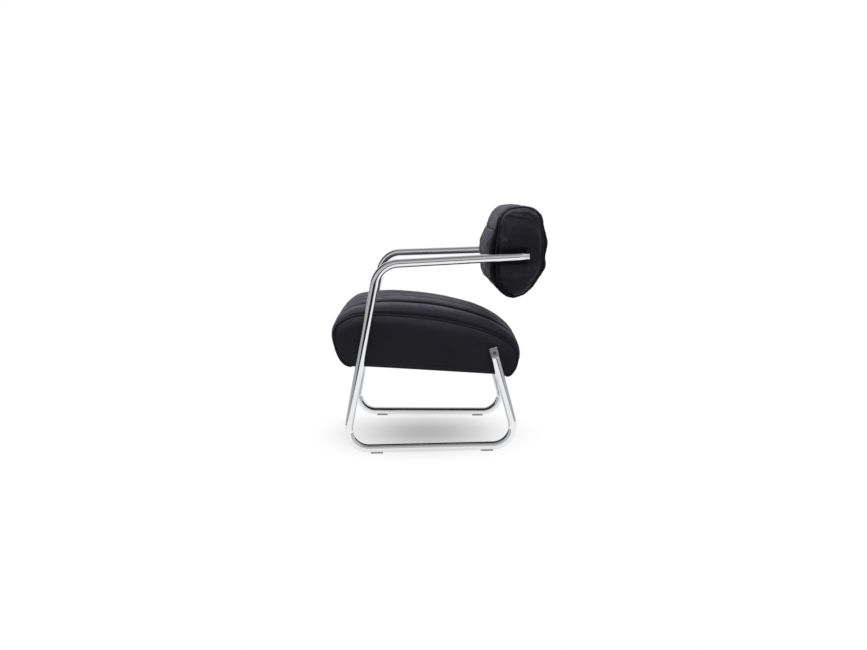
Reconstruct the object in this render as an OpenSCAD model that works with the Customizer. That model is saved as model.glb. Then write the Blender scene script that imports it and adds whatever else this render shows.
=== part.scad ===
// Lounge chair with two bent tube side frames, a channelled seat block and a roll backrest.
// Millimetres. +Z is up, the front of the chair faces -Y and +X is the sitter's left.
// The origin lies on the floor below the middle of the chair.

/* [Tube frame] */
// Outer diameter of the bent tube
tube_d = 25; // [20:0.5:30]
// Wall of the bent tube
tube_wall = 2; // [1:0.25:3]
// Width between the two floor runners at their front corners
base_front_w = 575; // [520:5:640]
// Width between the two floor runners at their rear corners
base_rear_w = 510; // [470:5:570]
// Length of a floor runner from corner to corner
runner_l = 516; // [480:2:560]
// Distance of the front floor corner ahead of the middle of the chair
runner_front_l = 283; // [260:1:300]
// Rise of the front leg from its floor corner to its arm corner
leg_rise = 543.5; // [500:0.5:600]
// Distance that the front leg leans back over that rise
leg_lean = 104; // [80:1:120]
// Length of the arm from its front corner to its rear end
arm_run = 444; // [420:2:480]
// Rise of the arm over that length
arm_rise = 16; // [0:1:30]
// Width between the two arms at their rear ends
arm_end_w = 404; // [380:2:440]
// Rise of the rear upright from its floor corner to its end
upright_rise = 293.5; // [280:0.5:300]
// Distance that the rear upright leans forward over that rise
upright_lean = 77; // [60:1:90]
// Bend radius at the floor corners, on the tube's centre line
floor_bend_r = 60; // [45:1:75]
// Bend radius at the arm corner, on the tube's centre line
arm_bend_r = 72; // [50:1:90]
// Thickness of the end caps' heads
cap_t = 1.5; // [1:0.25:3]
// Depth of the end caps' spigots in the tube
cap_spigot_l = 9; // [5:0.5:12]

/* [Floor glides] */
// Thickness of a glide between the floor and the tube
glide_t = 2; // [1:0.5:4]
// Length of a glide along the runner
glide_l = 36; // [20:1:50]
// Width of a glide across the runner
glide_w = 15; // [10:0.5:18]
// Distance from the runner's corners to the glides' middles
glide_inset_l = 95; // [85:1:140]
// Diameter of the stem that holds a glide in the tube
glide_stem_d = 5; // [3:0.5:7]
// Length of that stem
glide_stem_l = 8; // [5:0.5:9]

/* [Seat] */
// Distance of the nose ahead of the underside's front edge
nose_l = 52; // [45:1:60]
// Distance of the tail behind the rear uprights' screws
tail_l = 78; // [70:1:90]
// Angle of the seat's underside to the line through the front and rear fixings, in degrees
fix_slope = 0.53; // [-2:0.01:2]
// Height of the side seam over the underside
seam_h = 157; // [150:1:170]
// Height of the crown at the grooves over the side seam
seat_crown = 36; // [25:1:45]
// Height of a channel over its grooves
channel_h = 9; // [4:0.5:12]
// Number of channels across the seat
channel_count = 5; // [3:1:7]
// Thickness of the upholstered end panels of the seat and of the backrest
panel_t = 8; // [5:0.5:10]

/* [Seat frame] */
// Thickness of the seat's side rails
rail_t = 22; // [18:1:26]
// Thickness of the seat's front and rear rails
cross_rail_t = 22; // [18:1:24]
// Height of the rails
rail_h = 80; // [74:1:84]
// Distance of the rails' lower edges over the seat's underside
rail_lift = 4; // [3:0.5:6]
// Gap between the front rail and the washers of the leg bolts
rail_washer_l = 0.8; // [0.5:0.1:2]
// Distance of the rails' rear ends behind the rear uprights' screws
rail_rear_l = 22; // [16:0.5:26]
// Leg length of the corner blocks
block_l = 44; // [30:1:50]
// Height of the corner blocks
block_h = 36; // [25:1:40]
// Thickness of the cover cloth under the seat
cloth_t = 1.2; // [0.8:0.1:2]
// Width of the webbing belts
belt_w = 50; // [40:1:60]
// Thickness of the webbing belts
belt_t = 1.5; // [1:0.25:2]
// Number of belts from front to rear
long_belts = 5; // [3:1:6]
// Number of belts from side to side
cross_belts = 5; // [3:1:6]

/* [Backrest] */
// Distance of the backrest's lowest point below the arms' rear ends
back_low_h = 126; // [115:1:135]
// Height of the backrest
back_h = 276; // [270:1:290]
// Distance of the backrest's front ahead of the arms' rear ends
back_front_l = 126.5; // [118:0.5:135]
// Depth of the backrest from front to rear
back_d = 191; // [180:1:200]
// Distance of the end seams inside the backrest's outline
back_roll = 13; // [10:1:20]
// Depth of the grooves between the backrest's channels
back_groove = 7; // [3:0.5:9]
// Bulge of the backrest's middle over its ends
back_crown = 4; // [0:1:8]
// Height of the puffs of an end panel above and below the arm
panel_puff = 7; // [0:0.5:10]
// Half the height of the pinch that the arm makes in an end panel
pinch_h = 24; // [18:1:32]

/* [Backrest frame] */
// Depth of the backrest's end boards
board_d = 92; // [84:1:100]
// Height of the backrest's end boards
board_h = 160; // [140:1:170]
// Thickness of the backrest's end boards
board_t = 15; // [12:1:20]
// Corner radius of the end boards
board_r = 14; // [8:1:20]
// Depth of the two stretchers between the end boards
stretcher_d = 45; // [35:1:50]
// Height of the two stretchers
stretcher_h = 24; // [18:1:30]
// Number of upright belts between the stretchers
back_belts = 4; // [2:1:5]

/* [Fixings] */
// Diameter of the bolts and screws that join tube and upholstery frames
bolt_d = 6; // [5:0.5:7]
// Diameter of their button heads
bolt_head_d = 10; // [9:0.5:11]
// Height of their button heads
bolt_head_h = 3.3; // [2:0.1:4]
// Height of the bolted point on the front leg over its floor corner
leg_fix_rise = 305; // [290:1:320]
// Distance of that bolt behind the front edge of the seat's underside
leg_fix_l = 40.7; // [38:0.1:44]
// Height of that bolt over the seat's underside
leg_fix_h = 62.8; // [56:0.1:68]
// Distance of the visible screw below the rear upright's end
upright_fix_drop = 15; // [13:0.5:18]
// Distance of the last bolt ahead of the arm's end
arm_fix_setback = 20; // [16:1:24]
// Distance between the two bolts of an arm
arm_fix_pitch = 46; // [36:1:50]
// Thickness of the saddle washers between tube and panel
saddle_t = 2; // [1:0.25:4]
// Diameter of the saddle washers
saddle_d = 18; // [14:0.5:20]
// Outer diameter of the threaded bushes in the tube
bush_d = 10; // [9:0.5:11]
// Length of the threaded bushes
bush_l = 11; // [8:0.5:13]
// Outer diameter of the threaded inserts in the side rails
insert_d = 10; // [9:0.5:12]
// Length of the threaded inserts
insert_l = 15; // [10:0.5:16]
// Thickness of the bolts' flat washers
washer_t = 1.6; // [1:0.1:2]
// Diameter of the bolts' flat washers
washer_d = 16; // [13:0.5:18]
// Diameter of the wood screws in the rails and stretchers
wood_screw_d = 5; // [4:0.5:6]
// Diameter of the wood screws' heads
wood_head_d = 9; // [8:0.5:10]
// Length of the wood screws
wood_screw_l = 60; // [45:1:70]

/* [Hidden] */
$fn = 64;

// Length by which every cut runs past the face it opens
overrun = 2;
// Clearance between pieces that touch
touch_gap = 0.2;
// Clearance around upholstery
soft_gap = 0.3;
// Clearance between a saddle washer and the bulge of the panel under it
panel_gap = 0.8;
// Clearance between a bolt, bush or stem and its hole, on the diameter
hole_gap = 0.4;

// Corner points and ends of the left tube's centre line
tube_r = tube_d / 2;
bore_d = tube_d - 2 * tube_wall;
runner_z = tube_r + glide_t;
taper = (base_front_w - base_rear_w) / (2 * runner_l);
toe = atan(taper);
function frame_x(y) = base_front_w / 2 - (y + runner_front_l) * taper;
front_corner = [base_front_w / 2, -runner_front_l, runner_z];
rear_corner = [base_rear_w / 2, runner_l - runner_front_l, runner_z];
arm_corner_y = leg_lean - runner_front_l;
arm_corner = [frame_x(arm_corner_y), arm_corner_y, runner_z + leg_rise];
arm_end = [arm_end_w / 2, arm_corner_y + arm_run, arm_corner[2] + arm_rise];
upright_end_y = rear_corner[1] - upright_lean;
upright_end = [frame_x(upright_end_y), upright_end_y, runner_z + upright_rise];
tube_path = [upright_end, rear_corner, front_corner, arm_corner, arm_end];
tube_bends = [0, floor_bend_r, floor_bend_r, arm_bend_r, 0];
// Swell of the bent stretches over the straight ones, on the diameter
bend_swell = 0.1;
// Length by which a straight run reaches into a bend
bend_lap = 1.5;

function unit(v) = v / norm(v);
function turn(a, b, c) = acos(unit(b - a) * unit(c - b));
function setback(a, b, c, r) = r * tan(turn(a, b, c) / 2);
upright_dir = unit(upright_end - rear_corner);
arm_dir = unit(arm_end - arm_corner);
arm_toe = atan((arm_corner[0] - arm_end[0]) / arm_run);

// Fixing points on the tube's centre line
leg_fix = front_corner + (arm_corner - front_corner) * leg_fix_rise / leg_rise;
upright_fix = upright_end - upright_dir * upright_fix_drop;
arm_fixes = [for (i = [0:1]) arm_end - arm_dir * (arm_fix_setback + i * arm_fix_pitch)];

// Seat block: a is the distance along the underside, h the height over it; the fixings place it
fix_run = upright_fix[1] - leg_fix[1];
seat_tilt = atan((leg_fix[2] - upright_fix[2]) / fix_run) + fix_slope;
seat_front_y = leg_fix[1] - leg_fix_l * cos(seat_tilt) - leg_fix_h * sin(seat_tilt);
seat_front_z = leg_fix[2] + leg_fix_l * sin(seat_tilt) - leg_fix_h * cos(seat_tilt);
function seat_a(p) = (p[1] - seat_front_y) * cos(seat_tilt) - (p[2] - seat_front_z) * sin(seat_tilt);
seat_l = nose_l + seat_a(upright_fix) + tail_l;
soft_reach = tube_r + saddle_t + panel_t + soft_gap;
seat_half_w0 = frame_x(seat_front_y) - soft_reach / cos(toe);
seat_taper = taper * cos(seat_tilt);
seat_toe = atan(seat_taper);
function seat_half_w(a) = seat_half_w0 - a * seat_taper;
// Side outline of the seat from its underside's front edge over nose and tail to its rear edge, as
// shares of the seat's length and side height, with the share of the crown at each point
seat_outline_shares = [[0.0815, -0.005, 0], [0.06, 0.03, 0.01], [0.04, 0.135, 0.03], [0.013, 0.32, 0.06],
    [0.001, 0.54, 0.12], [0.012, 0.72, 0.15], [0.058, 0.87, 0.34], [0.14, 0.965, 0.68], [0.29, 1, 0.94],
    [0.45, 0.99, 1], [0.61, 0.945, 0.98], [0.775, 0.835, 0.85], [0.885, 0.715, 0.62], [0.957, 0.57, 0.36],
    [0.993, 0.38, 0.14], [0.99, 0.17, 0.03], [0.957, -0.015, 0]];
// Share of the crown that is left near the side seams, as powers of the half width
crown_power = 3;
// Share of the side outline's reach that the foam core takes, measured from the core's hub
core_share = 0.94;
// Points of a curve for each point of its outline
curve_steps = 2;
channel_steps = 4;

function spline(p, q, r, s, t) = (2 * q + (r - p) * t + (2 * p - 5 * q + 4 * r - s) * t * t
    + (3 * q - p - 3 * r + s) * t * t * t) / 2;
function open_curve(p, n) = let(last = len(p) - 1) [for (i = [0:last - 1]) for (j = [0:n - 1])
    spline(p[max(i - 1, 0)], p[i], p[i + 1], p[min(i + 2, last)], j / n), p[last]];
function closed_curve(p, n) = let(c = len(p)) [for (i = [0:c - 1]) for (j = [0:n - 1])
    spline(p[(i + c - 1) % c], p[i], p[(i + 1) % c], p[(i + 2) % c], j / n)];
function flat(p) = [p[0], p[1]];
// Outward normal of a clockwise outline at point i
function outward(p, i) = let(c = len(p), d = unit(flat(p[(i + 1) % c]) - flat(p[(i + c - 1) % c])))
    [-d[1], d[0]];

function seat_size(p) = [p[0] * seat_l - nose_l, p[1] * seam_h, p[2]];
seat_curve = [for (p = open_curve(seat_outline_shares, curve_steps)) seat_size(p)];
seat_hub = [seat_l / 2 - nose_l, 0];
core_curve = [for (p = seat_outline_shares) seat_hub + (flat(seat_size(p)) - seat_hub) * core_share];
// Power that rounds a channel's top
lobe_power = 0.8;
// Share of the crown at which the channels have their full height
lobe_crown_share = 1 / 3;
function channel_lobe(u) = abs(u) < 1 ? pow(abs(sin(180 * channel_count * (u + 1) / 2)), lobe_power) : 0;
function crown_at(u) = sqrt(max(0, 1 - pow(abs(u), crown_power)));
function seat_lift(share, u) = share * seat_crown * crown_at(u)
    + min(1, share / lobe_crown_share) * channel_h * channel_lobe(u);
function seat_ring(u) = [for (i = [0:len(seat_curve) - 1])
    let(p = seat_curve[i], q = flat(p) + outward(seat_curve, i) * seat_lift(p[2], u))
    [u * seat_half_w(q[0]), q[0], q[1]]];

// The bolts lean with the side planes, so their washers lie further forward than the fixing points
washer_drift = (soft_reach + rail_t + washer_t) * sin(toe);
rail_a0 = leg_fix_l - washer_drift - washer_d / 2 - rail_washer_l - cross_rail_t;
rail_a1 = seat_a(upright_fix) + rail_rear_l;
rail_l = rail_a1 - rail_a0;
rail_top = rail_lift + rail_h;
belt_top = rail_top + 2 * (touch_gap + belt_t);
rail_out = soft_gap;

// Backrest: depth from its front and height from its lowest point
back_front_y = arm_end[1] - back_front_l;
back_z = arm_end[2] - back_low_h;
back_reach = tube_r + saddle_t + panel_t + soft_gap;
arm_taper = tan(arm_toe);
function arm_x(y) = arm_end[0] + (arm_end[1] - y) * arm_taper;
function back_half_w(y) = arm_x(y) - back_reach / cos(arm_toe);
// Outline of the backrest from its lowest point, up its rear and down its front, as shares of its
// depth and height, with the share of the end roll and a 1 where a groove runs
back_outline_shares = [[0.44, 0, 0.15, 0], [0.66, 0.052, 0.3, 0], [0.835, 0.168, 0.55, 1],
    [0.95, 0.3, 0.9, 0], [0.985, 0.435, 1, 1], [1, 0.59, 1, 0], [0.97, 0.74, 0.95, 1],
    [0.885, 0.9, 0.8, 0], [0.715, 0.985, 0.75, 0],
    [0.53, 1, 0.75, 0], [0.335, 0.968, 0.75, 0], [0.195, 0.872, 0.8, 0], [0.105, 0.745, 0.9, 1],
    [0.03, 0.62, 1, 0], [0, 0.51, 1, 0], [0.01, 0.405, 0.9, 1], [0.025, 0.28, 0.75, 0],
    [0.1, 0.16, 0.5, 1], [0.245, 0.055, 0.3, 0]];
back_curve = [for (p = closed_curve(back_outline_shares, curve_steps))
    [p[0] * back_d + back_front_y, p[1] * back_h + back_z, p[2], max(0, p[3])]];
roll_power = 8;
back_width_shares = [-1, -0.97, -0.9, -0.78, -0.6, -0.3, 0, 0.3, 0.6, 0.78, 0.9, 0.97, 1];
// Power by which the grooves fade out towards the ends
groove_power = 4;
function roll_at(u) = 1 - sqrt(max(0, 1 - pow(abs(u), roll_power)));
function back_drop(p, u) = p[2] * back_roll * roll_at(u) - p[2] * back_crown * (1 - u * u)
    + p[3] * back_groove * (1 - pow(u, groove_power));
function back_ring(u) = [for (i = [0:len(back_curve) - 1])
    let(p = back_curve[i], q = flat(p) + outward(back_curve, i) * back_drop(p, u))
    [u * back_half_w(q[0]), q[0], q[1]]];

board_y = back_front_y + back_d / 2 - board_d / 2;
board_z = arm_end[2] - board_h / 2;
board_mid_y = board_y + board_d / 2;

// Solid between a row of rings with equal point counts, closed by a fan at both ends
module ring_solid(rings, first, last) {
    c = len(rings[0]);
    m = len(rings);
    points = concat([for (r = rings) for (p = r) p], [first, last]);
    sides = [for (j = [0:m - 2]) for (i = [0:c - 1]) let(k = (i + 1) % c)
        each [[j * c + i, (j + 1) * c + i, (j + 1) * c + k], [j * c + i, (j + 1) * c + k, j * c + k]]];
    near_fan = [for (i = [0:c - 1]) [m * c, i, (i + 1) % c]];
    far_fan = [for (i = [0:c - 1]) [m * c + 1, (m - 1) * c + (i + 1) % c, (m - 1) * c + i]];
    polyhedron(points, concat(sides, near_fan, far_fan));
}

module straight(a, b, d) {
    v = b - a;
    translate(a) rotate([0, acos(v[2] / norm(v)), atan2(v[1], v[0])]) cylinder(h = norm(v), d = d);
}

// Torus piece that rounds the corner b of the path a-b-c
module bend(a, b, c, r, d) {
    along = unit(b - a);
    start = b - along * setback(a, b, c, r);
    across = unit((c - b) - along * ((c - b) * along));
    up = cross(-across, along);
    centre = start + across * r;
    multmatrix([for (k = [0:2]) [-across[k], along[k], up[k], centre[k]]])
        rotate_extrude(angle = turn(a, b, c)) translate([r, 0]) circle(d = d);
}

// Round bar along the tube's path, its ends run on by a length; the straight runs end inside the bends
module along_path(d, run_on) {
    last = len(tube_path) - 1;
    for (i = [0:last - 1]) {
        a = tube_path[i];
        b = tube_path[i + 1];
        v = unit(b - a);
        from = i == 0 ? -run_on : setback(tube_path[i - 1], a, b, tube_bends[i]) - bend_lap;
        to = i == last - 1 ? -run_on : setback(a, b, tube_path[i + 2], tube_bends[i + 1]) - bend_lap;
        straight(a + v * from, b - v * to, d);
    }
    for (i = [1:last - 1])
        bend(tube_path[i - 1], tube_path[i], tube_path[i + 1], tube_bends[i], d + bend_swell);
}

// Places a part at a point of the tube's side plane, local +X pointing outwards
module at_frame(p) {
    translate([frame_x(p[1]), p[1], p[2]]) rotate([0, 0, toe]) children();
}

module at_arm(p) {
    translate(p) rotate([0, 0, arm_toe]) children();
}

module both_sides() {
    children();
    mirror([1, 0, 0]) children();
}

// Round bar along local X from one place to another
module bar_x(x0, x1, d) {
    translate([min(x0, x1), 0, 0]) rotate([0, 90, 0]) cylinder(h = abs(x1 - x0), d = d);
}

module in_seat() {
    translate([0, seat_front_y, seat_front_z]) rotate([-seat_tilt, 0, 0]) children();
}

// Carries a drawing in the side plane of the seat, a to the right and h up, out by x
module on_seat_side(x) {
    in_seat() translate([seat_half_w(0), 0, 0]) rotate([0, 0, seat_toe]) translate([x, 0, 0])
        rotate([90, 0, 90]) children();
}

module on_back_side(x) {
    translate([back_half_w(0), 0, 0]) rotate([0, 0, arm_toe]) translate([x, 0, 0])
        rotate([90, 0, 90]) children();
}

// Places of the glides on the left runner
runner_dir = unit(rear_corner - front_corner);
glide_places = [front_corner + runner_dir * glide_inset_l, rear_corner - runner_dir * glide_inset_l];

module side_frame() {
    color("silver") difference() {
        along_path(tube_d, 0);
        along_path(bore_d, overrun);
        for (p = glide_places) translate([p[0], p[1], 0]) cylinder(h = runner_z, d = glide_stem_d + hole_gap);
        at_frame(leg_fix) bar_x(-tube_d, 0, bush_d + hole_gap);
        at_frame(upright_fix) bar_x(-tube_d, 0, bolt_d + hole_gap);
        at_frame(upright_fix) bar_x(0, tube_d, bolt_head_d + hole_gap);
        for (p = arm_fixes) at_arm(p) bar_x(-tube_d, 0, bush_d + hole_gap);
    }
}

module left_side_frame() {
    side_frame();
}

module right_side_frame() {
    mirror([1, 0, 0]) side_frame();
}

// Cap with a rounded head on a spigot, head outwards along a direction
module end_cap(p, v) {
    head_r = tube_r - cap_t;
    translate(p) rotate([0, acos(v[2]), atan2(v[1], v[0])]) {
        translate([0, 0, touch_gap]) rotate_extrude() {
            square([head_r, cap_t]);
            intersection() {
                translate([head_r, 0]) circle(r = cap_t);
                square([tube_r, cap_t]);
            }
        }
        translate([0, 0, touch_gap - cap_spigot_l]) cylinder(h = cap_spigot_l, d = bore_d - touch_gap);
    }
}

module arm_end_caps() {
    color("silver") both_sides() end_cap(arm_end, arm_dir);
}

module upright_end_caps() {
    color("silver") both_sides() end_cap(upright_end, upright_dir);
}

module floor_glides() {
    color("dimgray") both_sides() for (p = glide_places) {
        difference() {
            translate([p[0], p[1], 0]) rotate([0, 0, toe]) translate([-glide_w / 2, -glide_l / 2, 0])
                cube([glide_w, glide_l, runner_z - tube_r / 2]);
            straight(front_corner, rear_corner, tube_d + 2 * touch_gap);
        }
        translate([p[0], p[1], glide_t / 2]) cylinder(h = glide_stem_l, d = glide_stem_d);
    }
}

// The bushes start where their rims lie below the tube's surface
bush_x = touch_gap - sqrt(tube_d * tube_d - bush_d * bush_d) / 2;

module bush() {
    difference() {
        bar_x(bush_x, bush_x + bush_l, bush_d);
        bar_x(-tube_d, tube_d, bolt_d + hole_gap);
    }
}

module threaded_bushes() {
    color("gray") both_sides() {
        at_frame(leg_fix) bush();
        for (p = arm_fixes) at_arm(p) bush();
    }
}

// Washer that is flat against a panel and hollow against the tube, which runs along a direction
module saddle(v) {
    difference() {
        bar_x(-tube_r - saddle_t + panel_gap, -tube_r / 2, saddle_d);
        bar_x(-tube_d, tube_d, bolt_d + hole_gap);
        straight(-v * tube_d, v * tube_d, tube_d + touch_gap);
    }
}

// Direction of a line in the side plane, seen in that plane's own axes
function in_plane(v, angle) =
    [v[0] * cos(angle) + v[1] * sin(angle), v[1] * cos(angle) - v[0] * sin(angle), v[2]];

module saddle_washers() {
    color("black") both_sides() {
        at_frame(leg_fix) saddle(in_plane(unit(arm_corner - front_corner), toe));
        at_frame(upright_fix) saddle(in_plane(upright_dir, toe));
        for (p = arm_fixes) at_arm(p) saddle(in_plane(arm_dir, arm_toe));
    }
}

// Bolt with a button head and a hexagon socket; its head starts at x and its shank runs along way, +1 or -1
module button_bolt(x, shank_l, way) {
    socket_d = bolt_d / 2;
    translate([x, 0, 0]) mirror([way > 0 ? 0 : 1, 0, 0]) {
        bar_x(0, shank_l, bolt_d);
        difference() {
            intersection() {
                bar_x(-bolt_head_h, 0, bolt_head_d);
                translate([bolt_head_d / 2 - bolt_head_h, 0, 0]) sphere(d = bolt_head_d + bolt_head_h);
            }
            translate([-bolt_head_h - overrun, 0, 0]) rotate([0, 90, 0])
                cylinder(h = overrun + bolt_head_h / 2, d = socket_d, $fn = 6);
        }
    }
}

rail_inner = -soft_reach - touch_gap - rail_t;
board_inner = -back_reach - touch_gap - board_t;
rail_bolt_x = rail_inner - touch_gap - washer_t - touch_gap;
board_bolt_x = board_inner - touch_gap - washer_t - touch_gap;
bush_grip = bush_x + bush_l / 2;

module leg_bolts() {
    color("dimgray") both_sides() at_frame(leg_fix) button_bolt(rail_bolt_x, bush_grip - rail_bolt_x, 1);
}

module arm_bolts() {
    color("dimgray") both_sides() for (p = arm_fixes)
        at_arm(p) button_bolt(board_bolt_x, bush_grip - board_bolt_x, 1);
}

// The visible screws sit with their heads inside the tube, on its inner wall
head_seat_x = -sqrt(bore_d * bore_d - bolt_head_d * bolt_head_d) / 2 + touch_gap;

module upright_screws() {
    color("dimgray") both_sides() at_frame(upright_fix)
        button_bolt(head_seat_x, head_seat_x + soft_reach + touch_gap + insert_l, -1);
}

module flat_washer(x) {
    difference() {
        bar_x(x - washer_t, x, washer_d);
        bar_x(x - washer_t - overrun, x + overrun, bolt_d + hole_gap);
    }
}

module flat_washers() {
    color("silver") both_sides() {
        at_frame(leg_fix) flat_washer(rail_inner - touch_gap);
        for (p = arm_fixes) at_arm(p) flat_washer(board_inner - touch_gap);
    }
}

module rail_inserts() {
    color("goldenrod") both_sides() at_frame(upright_fix) difference() {
        bar_x(-soft_reach - 2 * touch_gap, -soft_reach - 2 * touch_gap - insert_l, insert_d);
        bar_x(-soft_reach, -soft_reach - rail_t, bolt_d + hole_gap);
    }
}

// Places of the wood screws: distance along the seat and heights
rail_screw_places = [for (a = [rail_a0 + cross_rail_t / 2, rail_a1 - cross_rail_t / 2])
    for (h = [rail_lift + rail_h / 4, rail_top - rail_h / 4]) [a, h]];

// Countersunk wood screw whose head lies flush at height 0, or its cut, which runs on by a length
module wood_screw(d, head_d, run_on) {
    translate([0, 0, -wood_screw_l]) cylinder(h = wood_screw_l + run_on, d = d);
    translate([0, 0, -head_d / 2]) cylinder(h = head_d / 2 + run_on, d1 = 0, d2 = head_d + 2 * run_on);
}

module seat_wood_screw(p, grow, run_on) {
    on_seat_side(0) translate([p[0] / cos(seat_toe), p[1], -rail_out])
        wood_screw(wood_screw_d + grow, wood_head_d + grow, run_on);
}

module seat_side_rail() {
    stretch = 1 / cos(seat_toe);
    color("burlywood") difference() {
        on_seat_side(-rail_out - rail_t) linear_extrude(rail_t)
            polygon([[rail_a0 * stretch, rail_lift], [rail_a1 * stretch, rail_lift],
                [rail_a1 * stretch, rail_top], [rail_a0 * stretch, rail_top]]);
        at_frame(leg_fix) bar_x(-soft_reach - 2 * rail_t, 0, bolt_d + hole_gap);
        at_frame(upright_fix) bar_x(-soft_reach - 2 * touch_gap - insert_l, 0, insert_d + hole_gap);
        at_frame(upright_fix) bar_x(-soft_reach - 2 * rail_t, 0, bolt_d + hole_gap);
        for (p = rail_screw_places) seat_wood_screw(p, hole_gap, overrun);
    }
}

module seat_left_rail() {
    seat_side_rail();
}

module seat_right_rail() {
    mirror([1, 0, 0]) seat_side_rail();
}

// Half the clear width between the side rails
function clear_half_w(a) = seat_half_w(a) - (rail_out + rail_t) / cos(seat_toe) - touch_gap;

module cross_rail(a0) {
    a1 = a0 + cross_rail_t;
    color("burlywood") difference() {
        in_seat() translate([0, 0, rail_lift]) linear_extrude(rail_h)
            polygon([[-clear_half_w(a0), a0], [clear_half_w(a0), a0],
                [clear_half_w(a1), a1], [-clear_half_w(a1), a1]]);
        both_sides() for (p = rail_screw_places) seat_wood_screw(p, hole_gap, overrun);
    }
}

module seat_front_rail() {
    cross_rail(rail_a0);
}

module seat_rear_rail() {
    cross_rail(rail_a1 - cross_rail_t);
}

module corner_block(a, way) {
    w = clear_half_w(a);
    translate([0, 0, rail_lift + touch_gap]) linear_extrude(block_h)
        polygon([[w, a], [clear_half_w(a + way * block_l), a + way * block_l], [w - block_l, a]]);
}

module seat_corner_blocks() {
    color("tan") in_seat() both_sides() {
        corner_block(rail_a0 + cross_rail_t + touch_gap, 1);
        corner_block(rail_a1 - cross_rail_t - touch_gap, -1);
    }
}

module seat_rail_screws() {
    color("gray") both_sides() for (p = rail_screw_places) seat_wood_screw(p, 0, 0);
}

module seat_long_belts() {
    pitch = 2 * clear_half_w(rail_a1) / long_belts;
    color("darkkhaki") in_seat() for (i = [0:long_belts - 1])
        translate([(i - (long_belts - 1) / 2) * pitch - belt_w / 2, rail_a0, rail_top + touch_gap])
            cube([belt_w, rail_l, belt_t]);
}

module seat_cross_belts() {
    pitch = (rail_l - 2 * cross_rail_t) / cross_belts;
    color("khaki") in_seat() for (i = [0:cross_belts - 1]) {
        a = rail_a0 + cross_rail_t + (i + 1 / 2) * pitch;
        half = clear_half_w(a) + rail_t / 2;
        translate([-half, a - belt_w / 2, rail_top + 2 * touch_gap + belt_t])
            cube([2 * half, belt_w, belt_t]);
    }
}

// Plan of the seat block, drawn in at its sides by a length
module seat_plan(inset) {
    a0 = -seat_l;
    a1 = seat_l;
    polygon([[inset - seat_half_w(a0), a0], [seat_half_w(a0) - inset, a0],
        [seat_half_w(a1) - inset, a1], [inset - seat_half_w(a1), a1]]);
}

// Foam block over the wooden frame, from the nose to the tail
module seat_foam_core() {
    wide = seat_half_w(-seat_l);
    roof = belt_top + soft_gap;
    shape = [for (p = core_curve) p + unit(seat_hub - p) * soft_gap];
    notch = [[rail_a1 + soft_gap, 0], [rail_a1 + soft_gap, roof],
        [rail_a0 - soft_gap, roof], [rail_a0 - soft_gap, rail_lift]];
    color("ivory") in_seat() intersection() {
        translate([-wide, 0, 0]) rotate([90, 0, 90]) linear_extrude(2 * wide) polygon(concat(shape, notch));
        linear_extrude(2 * seam_h) seat_plan(0);
    }
}

module seat_bottom_cloth() {
    a0 = rail_a0 + rail_lift;
    a1 = rail_a1;
    color("dimgray") in_seat() translate([0, 0, rail_lift - touch_gap - cloth_t]) linear_extrude(cloth_t)
        polygon([[-seat_half_w(a0) + soft_gap, a0], [seat_half_w(a0) - soft_gap, a0],
            [seat_half_w(a1) - soft_gap, a1], [-seat_half_w(a1) + soft_gap, a1]]);
}

seat_stations = [for (i = [0:channel_count * channel_steps]) 2 * i / (channel_count * channel_steps) - 1];

// Layer between rows of outer rings and inner rings, open at its foot, where each inner ring has one
// point for every few points of the outer ring
module band_solid(outer, inner, step) {
    c = len(outer[0]);
    k = len(inner[0]);
    m = len(outer);
    points = concat([for (r = outer) for (p = r) p], [for (r = inner) for (p = r) p]);
    base = m * c;
    skin = [for (j = [0:m - 2]) for (i = [0:c - 2]) let(q = j * c + i)
        each [[q, q + 1, q + c + 1], [q, q + c + 1, q + c]]];
    lining = [for (j = [0:m - 2]) for (i = [0:k - 2]) let(q = base + j * k + i)
        each [[q, q + k + 1, q + 1], [q, q + k, q + k + 1]]];
    front_foot = [for (j = [0:m - 2]) let(q = j * c, r = base + j * k)
        each [[q, q + c, r + k], [q, r + k, r]]];
    rear_foot = [for (j = [0:m - 2]) let(q = j * c + c - 1, r = base + j * k + k - 1)
        each [[q, r + k, q + c], [q, r, r + k]]];
    ends = [for (i = [0:k - 2]) for (j = [0, m - 1]) let(r = base + j * k + i, q = j * c + i * step,
        fan = concat([for (n = [0:step - 1]) [r, q + n + 1, q + n]], [[r, r + 1, q + step]]))
        each j == 0 ? fan : [for (f = fan) [f[0], f[2], f[1]]]];
    polyhedron(points, concat(skin, lining, front_foot, rear_foot, ends));
}

// Channelled seat cover with its padding
module seat_cushion() {
    color("black") in_seat() band_solid([for (u = seat_stations) seat_ring(u)],
        [for (u = seat_stations) [for (p = core_curve) [u * seat_half_w(p[0]), p[0], p[1]]]], curve_steps);
}

// Outline of a curve drawn in by a length
function drawn_in(curve, inset) = [for (i = [0:len(curve) - 1]) flat(curve[i]) - outward(curve, i) * inset];
seat_panel_round = panel_t / 2;

module seat_panel() {
    out = soft_gap / cos(seat_toe);
    rings = [for (s = [[0, out], [0, out + panel_t / 2], [seat_panel_round, out + panel_t]])
        [for (p = drawn_in(seat_curve, s[0])) [seat_half_w(p[0]) + s[1], p[0], p[1]]]];
    color("black") difference() {
        in_seat() ring_solid(rings, [seat_half_w(seat_hub[0]) + out, seat_hub[0], seam_h / 2],
            [seat_half_w(seat_hub[0]) + out + panel_t, seat_hub[0], seam_h / 2]);
        at_frame(leg_fix) bar_x(-soft_reach - rail_t, 0, bolt_d + hole_gap);
        at_frame(upright_fix) bar_x(-soft_reach - rail_t, 0, bolt_d + hole_gap);
    }
}

module seat_left_panel() {
    seat_panel();
}

module seat_right_panel() {
    mirror([1, 0, 0]) seat_panel();
}

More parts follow.
